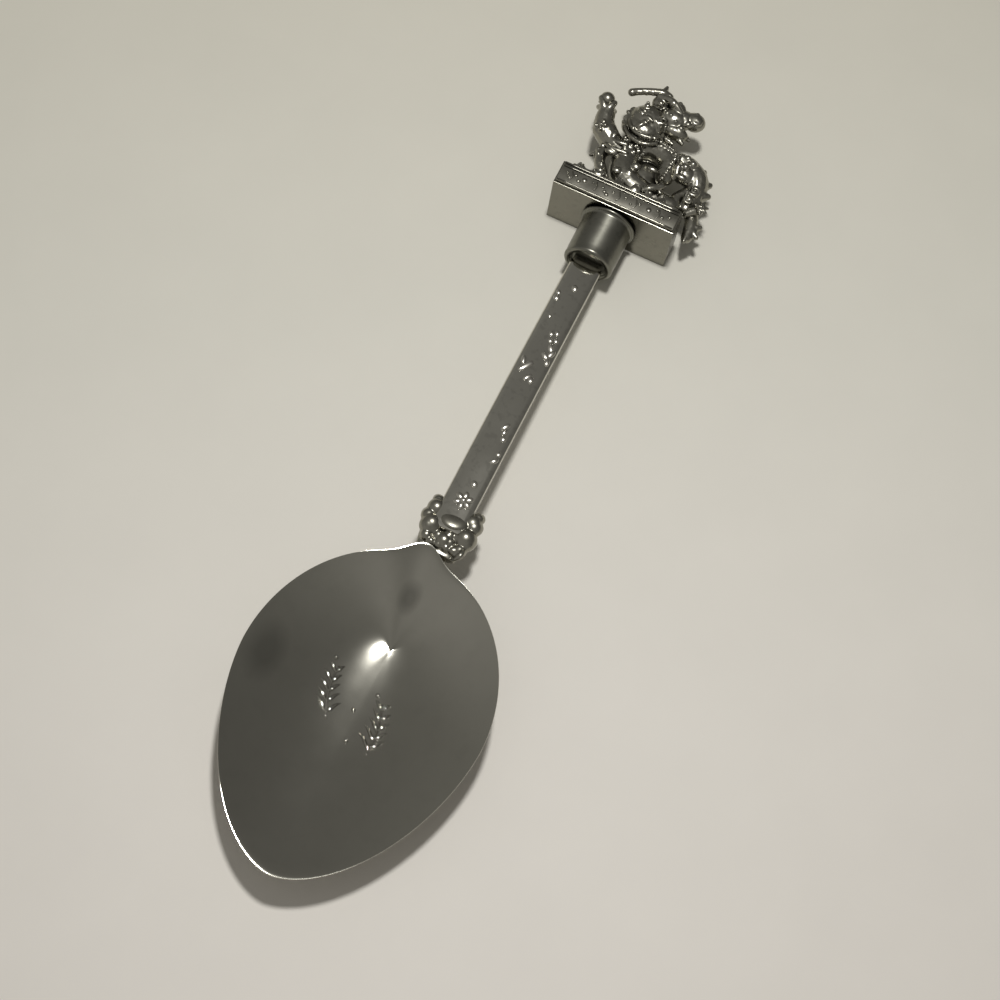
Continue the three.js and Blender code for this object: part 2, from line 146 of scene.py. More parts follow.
def unit_ball(around, rows):
    """Points and faces of a unit sphere, kept for reuse."""
    if (around, rows) not in BALLS:
        points = [(0, 0, 1), (0, 0, -1)]
        for row in range(1, rows):
            tilt = math.pi * row / rows
            for index in range(around):
                turn = 2 * math.pi * index / around
                points.append((math.sin(tilt) * math.cos(turn), math.sin(tilt) * math.sin(turn),
                               math.cos(tilt)))
        faces = []
        for index in range(around):
            after = (index + 1) % around
            faces.append((0, 2 + index, 2 + after))
            last = 2 + (rows - 2) * around
            faces.append((1, last + after, last + index))
            for row in range(rows - 2):
                base = 2 + row * around
                faces.append((base + index, base + around + index, base + around + after, base + after))
        BALLS[around, rows] = (np.array(points, float), faces)
    return BALLS[around, rows]


def ball(shape, centre, half, turn=None, around=16, rows=10):
    """Ellipsoid; half is one radius or three half axes."""
    points, faces = unit_ball(around, rows)
    points = points * (half if isinstance(half, (int, float)) else np.array(half))
    if turn is not None:
        points = points @ np.array(turn).T
    shape.add(points + np.array(centre[:3], float), faces)


def smooth_path(points, steps):
    """Catmull-Rom curve through rows of numbers, steps samples between each two."""
    rows = np.array(points, float)
    padded = np.vstack([2 * rows[0] - rows[1], rows, 2 * rows[-1] - rows[-2]])
    made = []
    for index in range(len(rows) - 1):
        before, start, end, after = padded[index:index + 4]
        for step in range(steps):
            t = step / steps
            made.append(0.5 * (
                2 * start + (end - before) * t + (2 * before - 5 * start + 4 * end - after) * t ** 2
                + (3 * start - before - 3 * end + after) * t ** 3))
    made.append(rows[-1])
    return np.array(made)


def frames_along(path):
    """Two steady cross directions at each point of a path."""
    tangents = np.gradient(path, axis=0)
    tangents /= np.linalg.norm(tangents, axis=1)[:, None]
    side = np.cross(tangents[0], (0.0, 0.0, 1.0))
    if np.linalg.norm(side) < 0.1:
        side = np.cross(tangents[0], (0.0, 1.0, 0.0))
    sides, ups = [], []
    for tangent in tangents:
        side = side - tangent * np.dot(side, tangent)
        side = side / np.linalg.norm(side)
        sides.append(side)
        ups.append(np.cross(side, tangent))
    return np.array(sides), np.array(ups)


def tube(shape, points, steps=6, around=14):
    """Round-ended tube through rows x, y, z, radius."""
    path = smooth_path(points, steps)
    sides, ups = frames_along(path[:, :3])
    angles = np.linspace(0, 2 * math.pi, around, endpoint=False)
    rings = []
    for index, row in enumerate(path):
        ring = []
        for angle in angles:
            across = sides[index] * math.cos(angle) + ups[index] * math.sin(angle)
            ring.append(Vector(row[:3] + across * row[3]))
        rings.append(ring)
    loft(shape, rings)
    for row in (path[0], path[-1]):
        ball(shape, row[:3], float(row[3]) * 0.995, around=around, rows=max(6, around // 2))


def cast_skin(obj, voxel, smoothing):
    """Melts overlapping lumps into one cast skin."""
    remesh = obj.modifiers.new("skin", "REMESH")
    remesh.mode = "VOXEL"
    remesh.voxel_size = voxel
    soften = obj.modifiers.new("soften", "SMOOTH")
    soften.iterations = smoothing
    soften.factor = 0.5
    apply_modifiers(obj)
    for polygon in obj.data.polygons:
        polygon.use_smooth = True


def pit(obj, depth, scale, seed):
    """Uneven cast surface: moves points along their normals by seeded noise."""
    shift = Vector((seed * 7.3, seed * 3.1, seed * 5.7))
    normals = [vert.normal.copy() for vert in obj.data.vertices]
    moved = []
    for vert, normal in zip(obj.data.vertices, normals):
        moved.extend(vert.co + normal * noise.fractal(vert.co * scale + shift, 1.0, 2.0, 3) * depth)
    obj.data.vertices.foreach_set("co", moved)


def finish_piece(obj, node, material):
    """Turns a piece into metres, gives it its material and ties it to the frame."""
    obj.data.transform(Matrix.Scale(MM, 4))
    obj.data.materials.clear()
    obj.data.materials.append(material)
    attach(obj, "root")
    if node:
        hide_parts(node)
    return obj


# ------------------------ materials

def link(tree, source, target):
    tree.links.new(source, target)


def add_node(tree, kind, **values):
    """New shader node with its sockets or properties set by name."""
    made = tree.nodes.new(kind)
    for key, value in values.items():
        label = key.replace("_", " ").title()
        if label in made.inputs:
            made.inputs[label].default_value = value
        else:
            setattr(made, key, value)
    return made


def noise_field(tree, where, scale, detail, roughness):
    """Factor of a noise texture read at a vector socket."""
    field = add_node(tree, "ShaderNodeTexNoise", scale=scale, detail=detail, roughness=roughness)
    link(tree, where, field.inputs["Vector"])
    return field.outputs["Fac"]


def ramp(tree, factor, stops):
    """Colour ramp fed by factor; stops are (place, grey or colour)."""
    made = tree.nodes.new("ShaderNodeValToRGB")
    elements = made.color_ramp.elements
    while len(elements) > 1:
        elements.remove(elements[-1])
    for index, (place, colour) in enumerate(stops):
        colour = (colour,) * 3 if isinstance(colour, (int, float)) else colour
        element = elements[0] if index == 0 else elements.new(place)
        element.position = place
        element.color = (*colour, 1)
    link(tree, factor, made.inputs["Fac"])
    return made.outputs["Color"]


def mix_colour(tree, mode, factor, first, second):
    """Blends two colours; each argument is a socket or a value."""
    made = tree.nodes.new("ShaderNodeMix")
    made.data_type = "RGBA"
    made.blend_type = mode
    made.clamp_result = False
    for name, value in (("Factor", factor), ("A", first), ("B", second)):
        socket = [s for s in made.inputs if s.name == name and (s.type == "RGBA") == (name != "Factor")][0]
        if isinstance(value, bpy.types.NodeSocket):
            link(tree, value, socket)
        else:
            socket.default_value = value if name == "Factor" else (*value, 1)
    return [s for s in made.outputs if s.type == "RGBA"][0]


SPECK_FINENESS, SMEAR_FINENESS = 14, 2.3
SPECK_DEPTH = 0.62
CREVICE_REACH = 0.9
SMEAR_LOW, SMEAR_HIGH = 0.85, 1.2
HAIRLINE_SCALE = (60.0, 900.0, 500.0)
HAIRLINE_DEPTH, GRAIN_DEPTH = 0.02, 0.04
GRAIN_SCALE = 2600.0
# Shape of the painted dark-reflection ovals: where their full darkness ends, and their reach in height.
REFLECTION_DEEP_SHARE = 0.35
REFLECTION_OVAL_HEIGHT = 1000.0


def with_painted_dark_reflections(tree, place, colour, dark_reflections):
    """Darkens a colour by soft ovals of painted dark reflection; each is x, y, half length, half width and
    depth.
    """
    for x, y, long, wide, depth in dark_reflections:
        oval = add_node(tree, "ShaderNodeMapping", vector_type="TEXTURE")
        oval.inputs["Location"].default_value = (x * MM, y * MM, 0.0)
        oval.inputs["Scale"].default_value = (long * MM, wide * MM, REFLECTION_OVAL_HEIGHT * MM)
        link(tree, place, oval.inputs["Vector"])
        reach = add_node(tree, "ShaderNodeVectorMath", operation="LENGTH")
        link(tree, oval.outputs["Vector"], reach.inputs[0])
        edge = ramp(tree, reach.outputs["Value"], [(REFLECTION_DEEP_SHARE, 1 - depth), (1.0, 1.0)])
        colour = mix_colour(tree, "MULTIPLY", 1.0, colour, edge)
    return colour


def silver(name, light, dark, roughness, patch_scale, crevice_tarnish_and_shade, scratch, grain, specks=0.3, dark_reflections=()):
    """Silver plate with tarnish: patches, specks, crevices darkened by ambient occlusion as tarnish and
    painted shade, fine scratches and grain.
    """
    material = bpy.data.materials.new(name)
    material.use_nodes = True
    tree = material.node_tree
    tree.nodes.clear()
    output = tree.nodes.new("ShaderNodeOutputMaterial")
    shader = add_node(tree, "ShaderNodeBsdfPrincipled", metallic=1.0)
    link(tree, shader.outputs["BSDF"], output.inputs["Surface"])
    place = tree.nodes.new("ShaderNodeTexCoord").outputs["Object"]

    patches = noise_field(tree, place, patch_scale, 5.0, 0.6)
    middle = tuple((a + b) / 2 for a, b in zip(light, dark))
    tarnish = ramp(tree, patches, [(0.3, dark), (0.52, middle), (0.72, light)])
    spots = noise_field(tree, place, patch_scale * SPECK_FINENESS, 2.0, 0.5)
    speckle = ramp(tree, spots, [(0.33, SPECK_DEPTH), (0.45, 1.0)])
    # Painted dark reflections darken the colour wherever the material lists them.
    colour = with_painted_dark_reflections(tree, place, mix_colour(tree, "MULTIPLY", specks, tarnish, speckle), dark_reflections)

    # Ambient occlusion darkens crevices and recesses: partly tarnish in the hollows, partly painted shade.
    hollow = add_node(tree, "ShaderNodeAmbientOcclusion", distance=CREVICE_REACH * MM, samples=6)
    shade = ramp(tree, hollow.outputs["AO"], [(0.15, crevice_tarnish_and_shade), (0.75, 1.0)])
    colour = mix_colour(tree, "MULTIPLY", 1.0, colour, shade)
    link(tree, colour, shader.inputs["Base Color"])

    smear = noise_field(tree, place, patch_scale * SMEAR_FINENESS, 3.0, 0.55)
    sheen = ramp(tree, smear, [(0.3, roughness * SMEAR_LOW), (0.7, roughness * SMEAR_HIGH)])
    link(tree, sheen, shader.inputs["Roughness"])

    stretch = add_node(tree, "ShaderNodeMapping", scale=HAIRLINE_SCALE)
    link(tree, place, stretch.inputs["Vector"])
    hairlines = noise_field(tree, stretch.outputs["Vector"], 1.0, 3.0, 0.7)
    fine = noise_field(tree, place, GRAIN_SCALE, 3.0, 0.6)
    bump_lines = add_node(tree, "ShaderNodeBump", strength=scratch, distance=HAIRLINE_DEPTH * MM)
    link(tree, hairlines, bump_lines.inputs["Height"])
    bump_grain = add_node(tree, "ShaderNodeBump", strength=grain, distance=GRAIN_DEPTH * MM)
    link(tree, fine, bump_grain.inputs["Height"])
    link(tree, bump_lines.outputs["Normal"], bump_grain.inputs["Normal"])
    link(tree, bump_grain.outputs["Normal"], shader.inputs["Normal"])
    return material


# The bowl's two dark ovals are painted reflections of dark things around the spoon, one near the neck and
# one on the left wall.
BOWL_SILVER = silver(
    "bowl_silver", light=(0.49, 0.48, 0.43), dark=(0.42, 0.41, 0.365), roughness=0.10, patch_scale=40.0,
    crevice_tarnish_and_shade=0.6, scratch=0.05, grain=0.02, specks=0.06,
    dark_reflections=((-21.3, 0.6, 2.2, 1.6, 0.34), (-35.5, 12.8, 4.5, 2.6, 0.25)))
# The stem's copy of the silver is painted lighter than the bowl's, a lit copy of the same metal.
STEM_SILVER_LIT = silver(
    "stem_silver_lit", light=(0.70, 0.685, 0.62), dark=(0.60, 0.585, 0.53), roughness=0.10, patch_scale=90.0,
    crevice_tarnish_and_shade=0.5, scratch=0.10, grain=0.05)
CAST_SILVER = silver(
    "cast_silver", light=(0.385, 0.375, 0.325), dark=(0.30, 0.29, 0.25), roughness=0.27, patch_scale=190.0,
    crevice_tarnish_and_shade=0.22, scratch=0.04, grain=0.04)
# The plinth's copy of the silver is painted darker than the cast silver: painted shade on its faces and
# ridges.
PLINTH_SILVER_SHADED = silver(
    "plinth_silver_shaded", light=(0.27, 0.262, 0.225), dark=(0.23, 0.222, 0.19), roughness=0.24,
    patch_scale=110.0, crevice_tarnish_and_shade=0.3, scratch=0.10, grain=0.08)
# The ferrule's copy of the silver is painted darker still: painted shade on the tube.
TUBE_SILVER_SHADED = silver(
    "tube_silver_shaded", light=(0.235, 0.232, 0.20), dark=(0.205, 0.202, 0.175), roughness=0.30,
    patch_scale=110.0, crevice_tarnish_and_shade=0.3, scratch=0.10, grain=0.05)
# The relief's copy of the silver is painted as light as the stem's lit copy, only rougher: painted glints
# on berries, leaves and flower.
RELIEF_SILVER_LIT = silver(
    "relief_silver_lit", light=(0.70, 0.68, 0.62), dark=(0.60, 0.58, 0.53), roughness=0.22, patch_scale=110.0,
    crevice_tarnish_and_shade=0.4, scratch=0.05, grain=0.03)


# ------------------------ bowl

BOWL_LENGTH = BOWL_END_X - TIP_X
BOWL_HALF_WIDTH = (bowl_high[1] - bowl_low[1]) / 2
NECK_REACH = 19.6
BOWL_CENTRE_X = BOWL_END_X - NECK_REACH
BOWL_HEIGHT = 6.4
RIM_RISE = 0.65
BOWL_WALL = 0.8
SHOULDER, SHOULDER_WIDTH, SHOULDER_SIDE = 2.0, 2.4, 1.1
BODY_REACH = 18.5
REST_SHARE = 0.16
TIP_FULLNESS, NECK_FULLNESS = 1.72, 1.97
OUTER_CURVE, INNER_CURVE = 2.2, 2.0
OUTER_NECK_GAIN = 0.9
OUTER_SHIFT, INNER_SHIFT = 3.0, 8.0
EDGE_HEIGHT = 0.2
LIP_FLAT = 0.04
TIP_LIP, TIP_LIP_FALL = 0.30, 14
NECK_ROLL, NECK_ROLL_FALL = 2.8, 22
RIM_CREASE = math.radians(28)
HEEL_HALF_WIDTH, HEEL_THICKNESS = 1.4, 0.9
BOWL_AROUND = 288


def outline_reach(angle):
    """Distance from the bowl's widest station to its outline in a direction."""
    to_neck = math.cos(angle) > 0
    length = BODY_REACH if to_neck else BOWL_LENGTH - NECK_REACH
    power = NECK_FULLNESS if to_neck else TIP_FULLNESS
    reach = (abs(math.cos(angle) / length) ** power
             + abs(math.sin(angle) / BOWL_HALF_WIDTH) ** power) ** (-1 / power)
    aside = (reach * math.sin(angle) - SHOULDER_SIDE) / SHOULDER_WIDTH
    return reach + (SHOULDER * math.exp(-aside * aside) if to_neck else 0)


def lip_round(angle):
    """Radius of the lip: a crisp edge at the sides, fuller at the tip, a soft roll at the neck."""
    along = math.cos(angle)
    return TIP_LIP * max(0.0, -along) ** TIP_LIP_FALL + NECK_ROLL * max(0.0, along) ** NECK_ROLL_FALL


def bowl_point(angle, kind, share):
    """Point of the outer face, the edge or the inner face at a share of the outline."""
    reach = outline_reach(angle)
    if kind == "outer":
        curve = OUTER_CURVE + OUTER_NECK_GAIN * max(0.0, math.cos(angle)) ** 2
        climb = max(0.0, (share - REST_SHARE) / (1 - REST_SHARE)) ** curve
        height, shift = (BOWL_HEIGHT - EDGE_HEIGHT) * climb, OUTER_SHIFT * (1 - share)
    elif kind == "edge":
        height, shift, share = BOWL_HEIGHT - EDGE_HEIGHT * (1 - share), 0.0, 1.0
    else:
        soft = lip_round(angle) / reach
        inward = math.hypot(1 - share, soft) - soft
        height = BOWL_WALL + (BOWL_HEIGHT - BOWL_WALL) * (1 - inward) ** INNER_CURVE
        shift = INNER_SHIFT * (1 - share)
        reach -= LIP_FLAT
    rise = 1 + share * RIM_RISE * math.cos(angle) / BOWL_HEIGHT
    return (BOWL_CENTRE_X + shift + share * reach * math.cos(angle), share * reach * math.sin(angle),
            height * rise)


def bowl_stations():
    """Up the outside, over the edge and down the inside."""
    outside = [("outer", REST_SHARE + (1 - REST_SHARE) * step / 26) for step in range(27)]
    edge = [("edge", share) for share in (0.2, 0.45, 0.6)]
    inward = [0, 0.0015, 0.003, 0.006, 0.01, 0.016, 0.024, 0.034, 0.046, 0.06, 0.08]
    inward += list(np.linspace(0.11, 0.98, 34))
    return outside + edge + [("inner", 1 - step) for step in inward]


def soft_oblong(x, height, half_width, half_height, squareness, count):
    """Section across X: an ellipse squared up by raising it to powers across and up."""
    across_power, up_power = squareness
    points = []
    for index in range(count):
        turn = 2 * math.pi * index / count
        across = math.copysign(abs(math.cos(turn)) ** across_power, math.cos(turn)) * half_width
        up = math.copysign(abs(math.sin(turn)) ** up_power, math.sin(turn)) * half_height
        points.append((x, across, height + up))
    return points


def make_heel():
    """Tongue behind the bowl on which the neck is soldered."""
    shape = Shape()
    middle = neck_low[2] - SOLDER_GAP - HEEL_THICKNESS / 2
    stations = ((-2.4, 0.8, 0.9), (-1.2, 1.0, 0.5), (0.6, 1.0, 0.3), (2.0, 1.0, 0.0), (4.4, 0.92, 0.0),
                (5.0, 0.6, 0.1))
    half = HEEL_THICKNESS / 2
    loft(shape, [soft_oblong(BOWL_END_X + x, middle - drop, HEEL_HALF_WIDTH * width, half, (0.6, 0.6), 24)
                 for x, width, drop in stations])
    finish_piece(new_object("bowl_heel", shape), None, CAST_SILVER)


def make_bowl():
    shape = Shape()
    angles = [2 * math.pi * (index + 0.5) / BOWL_AROUND for index in range(BOWL_AROUND)]
    loft(shape, [[bowl_point(angle, *row) for angle in angles] for row in bowl_stations()])
    obj = new_object("bowl", shape)
    obj.data.set_sharp_from_angle(angle=RIM_CREASE)
    return finish_piece(obj, "spoon_bowl", BOWL_SILVER)


make_heel()
bowl = make_bowl()


class Surface:
    """Finds the top of a finished piece under a point, in millimetres."""

    def __init__(self, obj):
        points = [vert.co / MM for vert in obj.data.vertices]
        self.tree = BVHTree.FromPolygons(points, [list(face.vertices) for face in obj.data.polygons])

    def at(self, x, y, top=20.0):
        """Height and normal of the uppermost surface at x, y."""
        place, normal, _, _ = self.tree.ray_cast(Vector((x, y, top)), Vector((0, 0, -1)))
        return place.z, (normal if normal.z > 0 else -normal)


bowl_surface = Surface(bowl)


STROKE_SINK = 0.35
SPRIGS = (((-39.2, 3.0), (-32.4, 4.6), 0.5), ((-41.4, -3.3), (-34.4, -2.2), -0.4))
SPRIG_BERRIES = ((-31.6, 5.4), (-33.6, -1.2), (-40.6, -0.4), (-36.6, 0.6))
STALK_RADIUS, LEAF_RADIUS = 0.13, 0.15
STALK_ROWS = ((0, 0.5), (0.35, 1), (0.7, 1), (1, 0.5))
LEAF_ROWS = ((0.0, 0.0, 0.5), (0.28, 0.30, 1.3), (0.62, 0.66, 1.15), (0.8, 1.0, 0.35))


def laid_stroke(shape, surface, line, radius):
    """Low raised stroke that follows a surface. line is rows x, y and share of the radius."""
    rows = []
    for x, y, share in smooth_path(line, 8):
        z, normal = surface.at(x, y)
        thick = radius * share
        rows.append((x - normal.x * thick * STROKE_SINK, y - normal.y * thick * STROKE_SINK,
                     z + thick * (0.5 - STROKE_SINK), thick))
    tube(shape, rows, steps=1, around=8)


def make_bowl_sprigs():
    """A pair of small leafy sprigs struck in the middle of the bowl."""
    shape = Shape()
    for root, tip, bow in SPRIGS:
        run = np.array(tip) - np.array(root)
        side = np.array((-run[1], run[0])) / np.hypot(*run)

        def along(t):
            return np.array(root) + run * t + side * bow * math.sin(math.pi * t)

        laid_stroke(shape, bowl_surface, [(*along(t), share) for t, share in STALK_ROWS], STALK_RADIUS)
        for leaf in range(5):
            t = 0.12 + 0.19 * leaf
            start = along(t)
            for hand in (1, -1):
                reach = (2.3 - 0.22 * leaf) * (1.0 if hand > 0 else 0.85)
                ahead, out = run / np.hypot(*run), side * hand
                rows = []
                for step, lift, share in LEAF_ROWS:
                    spot = start + ahead * reach * step + out * reach * lift * 0.72
                    rows.append((spot[0], spot[1], share))
                laid_stroke(shape, bowl_surface, rows, LEAF_RADIUS)
    for x, y in SPRIG_BERRIES:
        z, _ = bowl_surface.at(x, y)
        ball(shape, (x, y, z + 0.02), (0.26, 0.26, 0.18))
    return finish_piece(new_object("bowl_sprigs", shape), None, BOWL_SILVER)


make_bowl_sprigs()


# ------------------------ neck mount

NECK_BEADS = (
    (-10.4, 2.35, 1.20), (-12.9, 2.20, 1.25), (-14.2, 1.95, 0.80), (-11.7, 2.80, 1.0), (-12.2, 1.25, 0.7),
    (-10.8, -2.85, 1.15), (-13.0, -2.85, 1.15), (-14.3, -2.60, 0.85), (-11.9, -2.05, 0.9),
    (-13.1, -0.65, 0.85), (-12.9, -1.60, 0.8), (-13.9, -1.05, 0.75), (-13.6, 0.6, 0.7),
    (-9.4, 2.55, 0.8), (-9.5, -2.85, 0.8), (-15.0, -2.5, 0.5),
)
NECK_SWELLS = ((-12.6, 2.0, 1.5), (-12.6, -2.6, 1.5), (-10.4, 2.2, 1.3), (-10.4, -2.5, 1.3),
               (-13.9, -0.3, 1.2))
NECK_HALF_WIDTH, NECK_TALL = 3.1, 2.5
SHIELD_TILT = math.radians(20)


def make_neck():
    """Cast setting: a domed mount covered with berries, and a smooth shield over the stem's end."""
    start, end = neck_low[0], neck_high[0]
    low, top = neck_low[2], neck_low[2] + NECK_TALL
    shape = Shape()
    sections = []
    for step in range(25):
        t = step / 24
        width = NECK_HALF_WIDTH * (0.62 + 0.38 * math.sin(math.pi * min(1.0, 0.14 + 0.82 * t)) ** 0.8)
        tall = (NECK_TALL - 0.5) / 2 * (0.78 + 0.22 * math.sin(math.pi * t))
        x = start + 0.1 + (end - start - 0.2) * t
        sections.append(soft_oblong(x, (low + top) / 2 - 0.35, width, tall, (0.75, 0.95), 40))
    loft(shape, sections)
    for x, y, radius in NECK_BEADS:
        ball(shape, (x, y, top - 0.75 - 0.05 * abs(y)), (radius, radius, radius * 0.95), around=24, rows=16)
        ball(shape, (x + 0.2, y * 1.06, top - 1.1), radius * 0.9, around=16, rows=12)
    tube(shape, [(-15.7, -2.6, top - 0.5, 0.26), (-15.2, -3.0, top - 0.15, 0.42),
                 (-14.6, -3.1, top - 0.2, 0.36)])
    for x, y, radius in NECK_SWELLS:
        ball(shape, (x, y, top - 1.1), radius, around=28, rows=18)
    for y in (-1.9, -0.9, 0.1, 1.1):
        ball(shape, (-14.7, y, top - 0.85), 0.62, around=20, rows=14)
    ball(shape, (-10.8, -0.35, top - 0.35), (1.9, 2.0, 0.55), Matrix.Rotation(SHIELD_TILT, 3, "Y"),
         around=32, rows=20)
    obj = new_object("neck_setting", shape)
    cast_skin(obj, 0.09, 6)
    return finish_piece(obj, "neck_mount", CAST_SILVER)


make_neck()


# ------------------------ stem

STEM_WIDTH = stem_high[1] - stem_low[1]
STEM_THICKNESS = 1.9
STEM_ARCH = 0.5
STEM_CROWN, STEM_CHAMFER = 0.10, 0.38
STEM_NECK_Z = neck_low[2] + 0.7 + SOLDER_GAP
STEM_END_Z = AXIS_Z - STEM_THICKNESS / 2
STEM_START_X = stem_low[0]


def stem_underside(x):
    """Height of the stem's underside: flat in the neck, arched between neck and ferrule."""
    if x <= NECK_END_X:
        return STEM_NECK_Z
    t = min(1.0, (x - NECK_END_X) / (FERRULE_X - NECK_END_X))
    middle = (STEM_NECK_Z + STEM_END_Z) / 2 + 2 * STEM_ARCH
    return (1 - t) ** 2 * STEM_NECK_Z + 2 * t * (1 - t) * middle + t ** 2 * STEM_END_Z


def stem_section(x, half, thick):
    """Flat bar with chamfered long edges and a slightly crowned top."""
    low = stem_underside(x)
    chamfer, crown = STEM_CHAMFER, STEM_CROWN
    points = []
    for index in range(13):
        y = -1 + 2 * index / 12
        points.append((y * (half - chamfer), low + thick - crown * y * y))
    points += [(half - 0.06, low + thick - chamfer * 0.8 - crown), (half, low + thick - chamfer - crown),
               (half, low + chamfer * 0.7), (half - 0.3, low + 0.04)]
    for index in range(7):
        y = 1 - 2 * index / 6
        points.append((y * (half - 0.5), low))
    points += [(-half + 0.3, low + 0.04), (-half, low + chamfer * 0.7),
               (-half, low + thick - chamfer - crown), (-half + 0.06, low + thick - chamfer * 0.8 - crown)]
    return [Vector((x, y, z)) for y, z in points]


def make_stem():
    shape = Shape()
    half = STEM_WIDTH / 2
    stations = list(np.linspace(STEM_START_X + 0.3, FERRULE_X - 0.3, 60))
    sections = [stem_section(STEM_START_X, half - 0.35, STEM_THICKNESS - 0.3)]
    sections += [stem_section(x, half, STEM_THICKNESS) for x in stations]
    sections += [stem_section(FERRULE_X - 0.25, half * 0.94, STEM_THICKNESS - 0.1),
                 stem_section(stem_high[0], half * 0.94, STEM_THICKNESS - 0.2)]
    loft(shape, sections)
    obj = new_object("stem_bar", shape)
    return finish_piece(obj, "stem", STEM_SILVER_LIT)


stem = make_stem()
stem_surface = Surface(stem)


# Distance from the bowl's tip, across, and size of each raised berry, leaf and petal.
STEM_BERRIES = (
    (86.0, -0.2, 0.46), (84.5, 1.45, 0.34), (83.6, 1.35, 0.44), (78.6, -0.95, 0.36), (78.2, -0.3, 0.36),
    (77.5, -1.25, 0.36), (77.2, -0.6, 0.34), (80.6, 1.0, 0.22), (70.6, -0.75, 0.42), (61.4, -1.15, 0.38),
    (54.1, -0.55, 0.46), (59.2, -1.5, 0.34),
)
STEM_LEAVES = (
    (76.2, -1.1, 0.72, 0.42, 0.5), (75.4, -1.5, 0.7, 0.4, -0.4), (74.8, -0.9, 0.7, 0.4, 0.9),
    (74.0, -1.5, 0.6, 0.36, 0.2), (72.3, 0.7, 1.2, 0.46, -0.57), (70.9, -0.2, 0.7, 0.36, -0.6),
    (63.1, -0.7, 0.7, 0.4, -0.6), (62.3, -0.9, 0.5, 0.34, -0.3), (58.1, -1.4, 0.6, 0.36, -0.8),
    (73.0, 1.3, 0.7, 0.32, 0.3),
)
LEAF_HEIGHT = 0.22
FLOWER_X, FLOWER_Y, FLOWER_RADIUS, PETALS = 51.5, -0.3, 0.7, 6


def petal_dome(shape, surface, x, y, length, width, height, heading):
    """Raised leaf or dot: an ellipsoid half sunk in the surface, lying along a heading."""
    z, _ = surface.at(x, y)
    turn = Matrix.Rotation(heading, 3, "Z")
    ball(shape, (x, y, z + height * 0.05), (length, width, height), turn, around=20, rows=12)


def make_stem_relief():
    """Berries, leaves and a small flower, raised on the stem."""
    shape = Shape()
    for x, y, radius in STEM_BERRIES:
        petal_dome(shape, stem_surface, TIP_X + x, y, radius * 1.15, radius, radius * 0.5, 0.5)
    for x, y, length, width, heading in STEM_LEAVES:
        petal_dome(shape, stem_surface, TIP_X + x, y, length, width, LEAF_HEIGHT, heading)
    for petal in range(PETALS):
        turn = 2 * math.pi / PETALS * petal
        petal_dome(shape, stem_surface, TIP_X + FLOWER_X + FLOWER_RADIUS * math.cos(turn),
                   FLOWER_Y + FLOWER_RADIUS * math.sin(turn), 0.62, 0.42, 0.26, turn)
    petal_dome(shape, stem_surface, TIP_X + FLOWER_X, FLOWER_Y, 0.45, 0.45, 0.36, 0)
    # The relief takes the lighter silver: painted glints.
    finish_piece(new_object("stem_relief", shape), None, RELIEF_SILVER_LIT)


make_stem_relief()


# ------------------------ ferrule

FERRULE_END_X = ferrule_high[0]
FERRULE_RADIUS = 3.4
FERRULE_WALL = 0.75
PLUG_DEPTH = 0.42


def turned(shape, profile, around=96):
    """Lathe about the spoon's axis; profile rows are distance along X and radius."""
    turns = [2 * math.pi * index / around for index in range(around)]
    loft(shape, [[(x, radius * math.cos(turn), AXIS_Z + radius * math.sin(turn)) for turn in turns]
                 for x, radius in profile])


def arc(centre_x, centre_r, radius, start, stop, count):
    """Rows of a rounded profile; angles in degrees, 0 along +X, 90 outwards."""
    rows = []
    for index in range(count):
        turn = math.radians(start + (stop - start) * index / (count - 1))
        rows.append((centre_x + radius * math.cos(turn), centre_r + radius * math.sin(turn)))
    return rows


def make_ferrule():
    """Tube with a rounded mouth, closed just inside by solder, and a thin foot ring on the plinth."""
    shape = Shape()
    bore, end, plug = FERRULE_RADIUS - FERRULE_WALL, FERRULE_END_X, FERRULE_X + PLUG_DEPTH
    profile = [(plug - 0.15, 0.05), (plug, bore - 0.5), (plug - 0.02, bore), (FERRULE_X + 0.38, bore)]
    profile += arc(FERRULE_X + 0.37, FERRULE_RADIUS - FERRULE_WALL / 2, FERRULE_WALL / 2, 270, 90, 13)
    profile += [(FERRULE_X + 1.0, FERRULE_RADIUS - 0.05), (FERRULE_X + 1.3, FERRULE_RADIUS)]
    profile += [(end - 0.9, FERRULE_RADIUS)]
    profile += arc(end - 0.30, FERRULE_RADIUS + 0.18, 0.22, 200, 10, 9)
    profile += [(end - 0.02, FERRULE_RADIUS + 0.1), (end, 0.05)]
    turned(shape, profile)
    finish_piece(new_object("ferrule_tube", shape), "ferrule", TUBE_SILVER_SHADED)


make_ferrule()


# ------------------------ plinth and front band

PLINTH_BEVEL, BAND_BEVEL = 0.07, 0.05
RIDGE_HALF_WIDTH, RIDGE_HALF_HEIGHT = 0.11, 0.06
# Across, shift along X and radius of each stud on the band, then the places of its bars.
STUDS = (
    (7.4, 0.3, 0.2), (6.9, -0.3, 0.24), (6.2, 0.35, 0.26), (5.6, -0.25, 0.3), (4.9, 0.2, 0.36),
    (3.7, 0.4, 0.18), (2.3, 0.35, 0.22), (1.9, -0.15, 0.26), (1.5, -0.45, 0.3), (0.8, 0.3, 0.2),
    (-1.0, 0.3, 0.2), (-1.9, -0.3, 0.2), (-3.0, 0.25, 0.22), (-4.4, 0.0, 0.38), (-5.5, 0.4, 0.2),
    (-6.4, -0.25, 0.26), (-7.3, 0.2, 0.24),
)
BARS = (6.6, 3.1, -0.2, -2.6, -5.9)


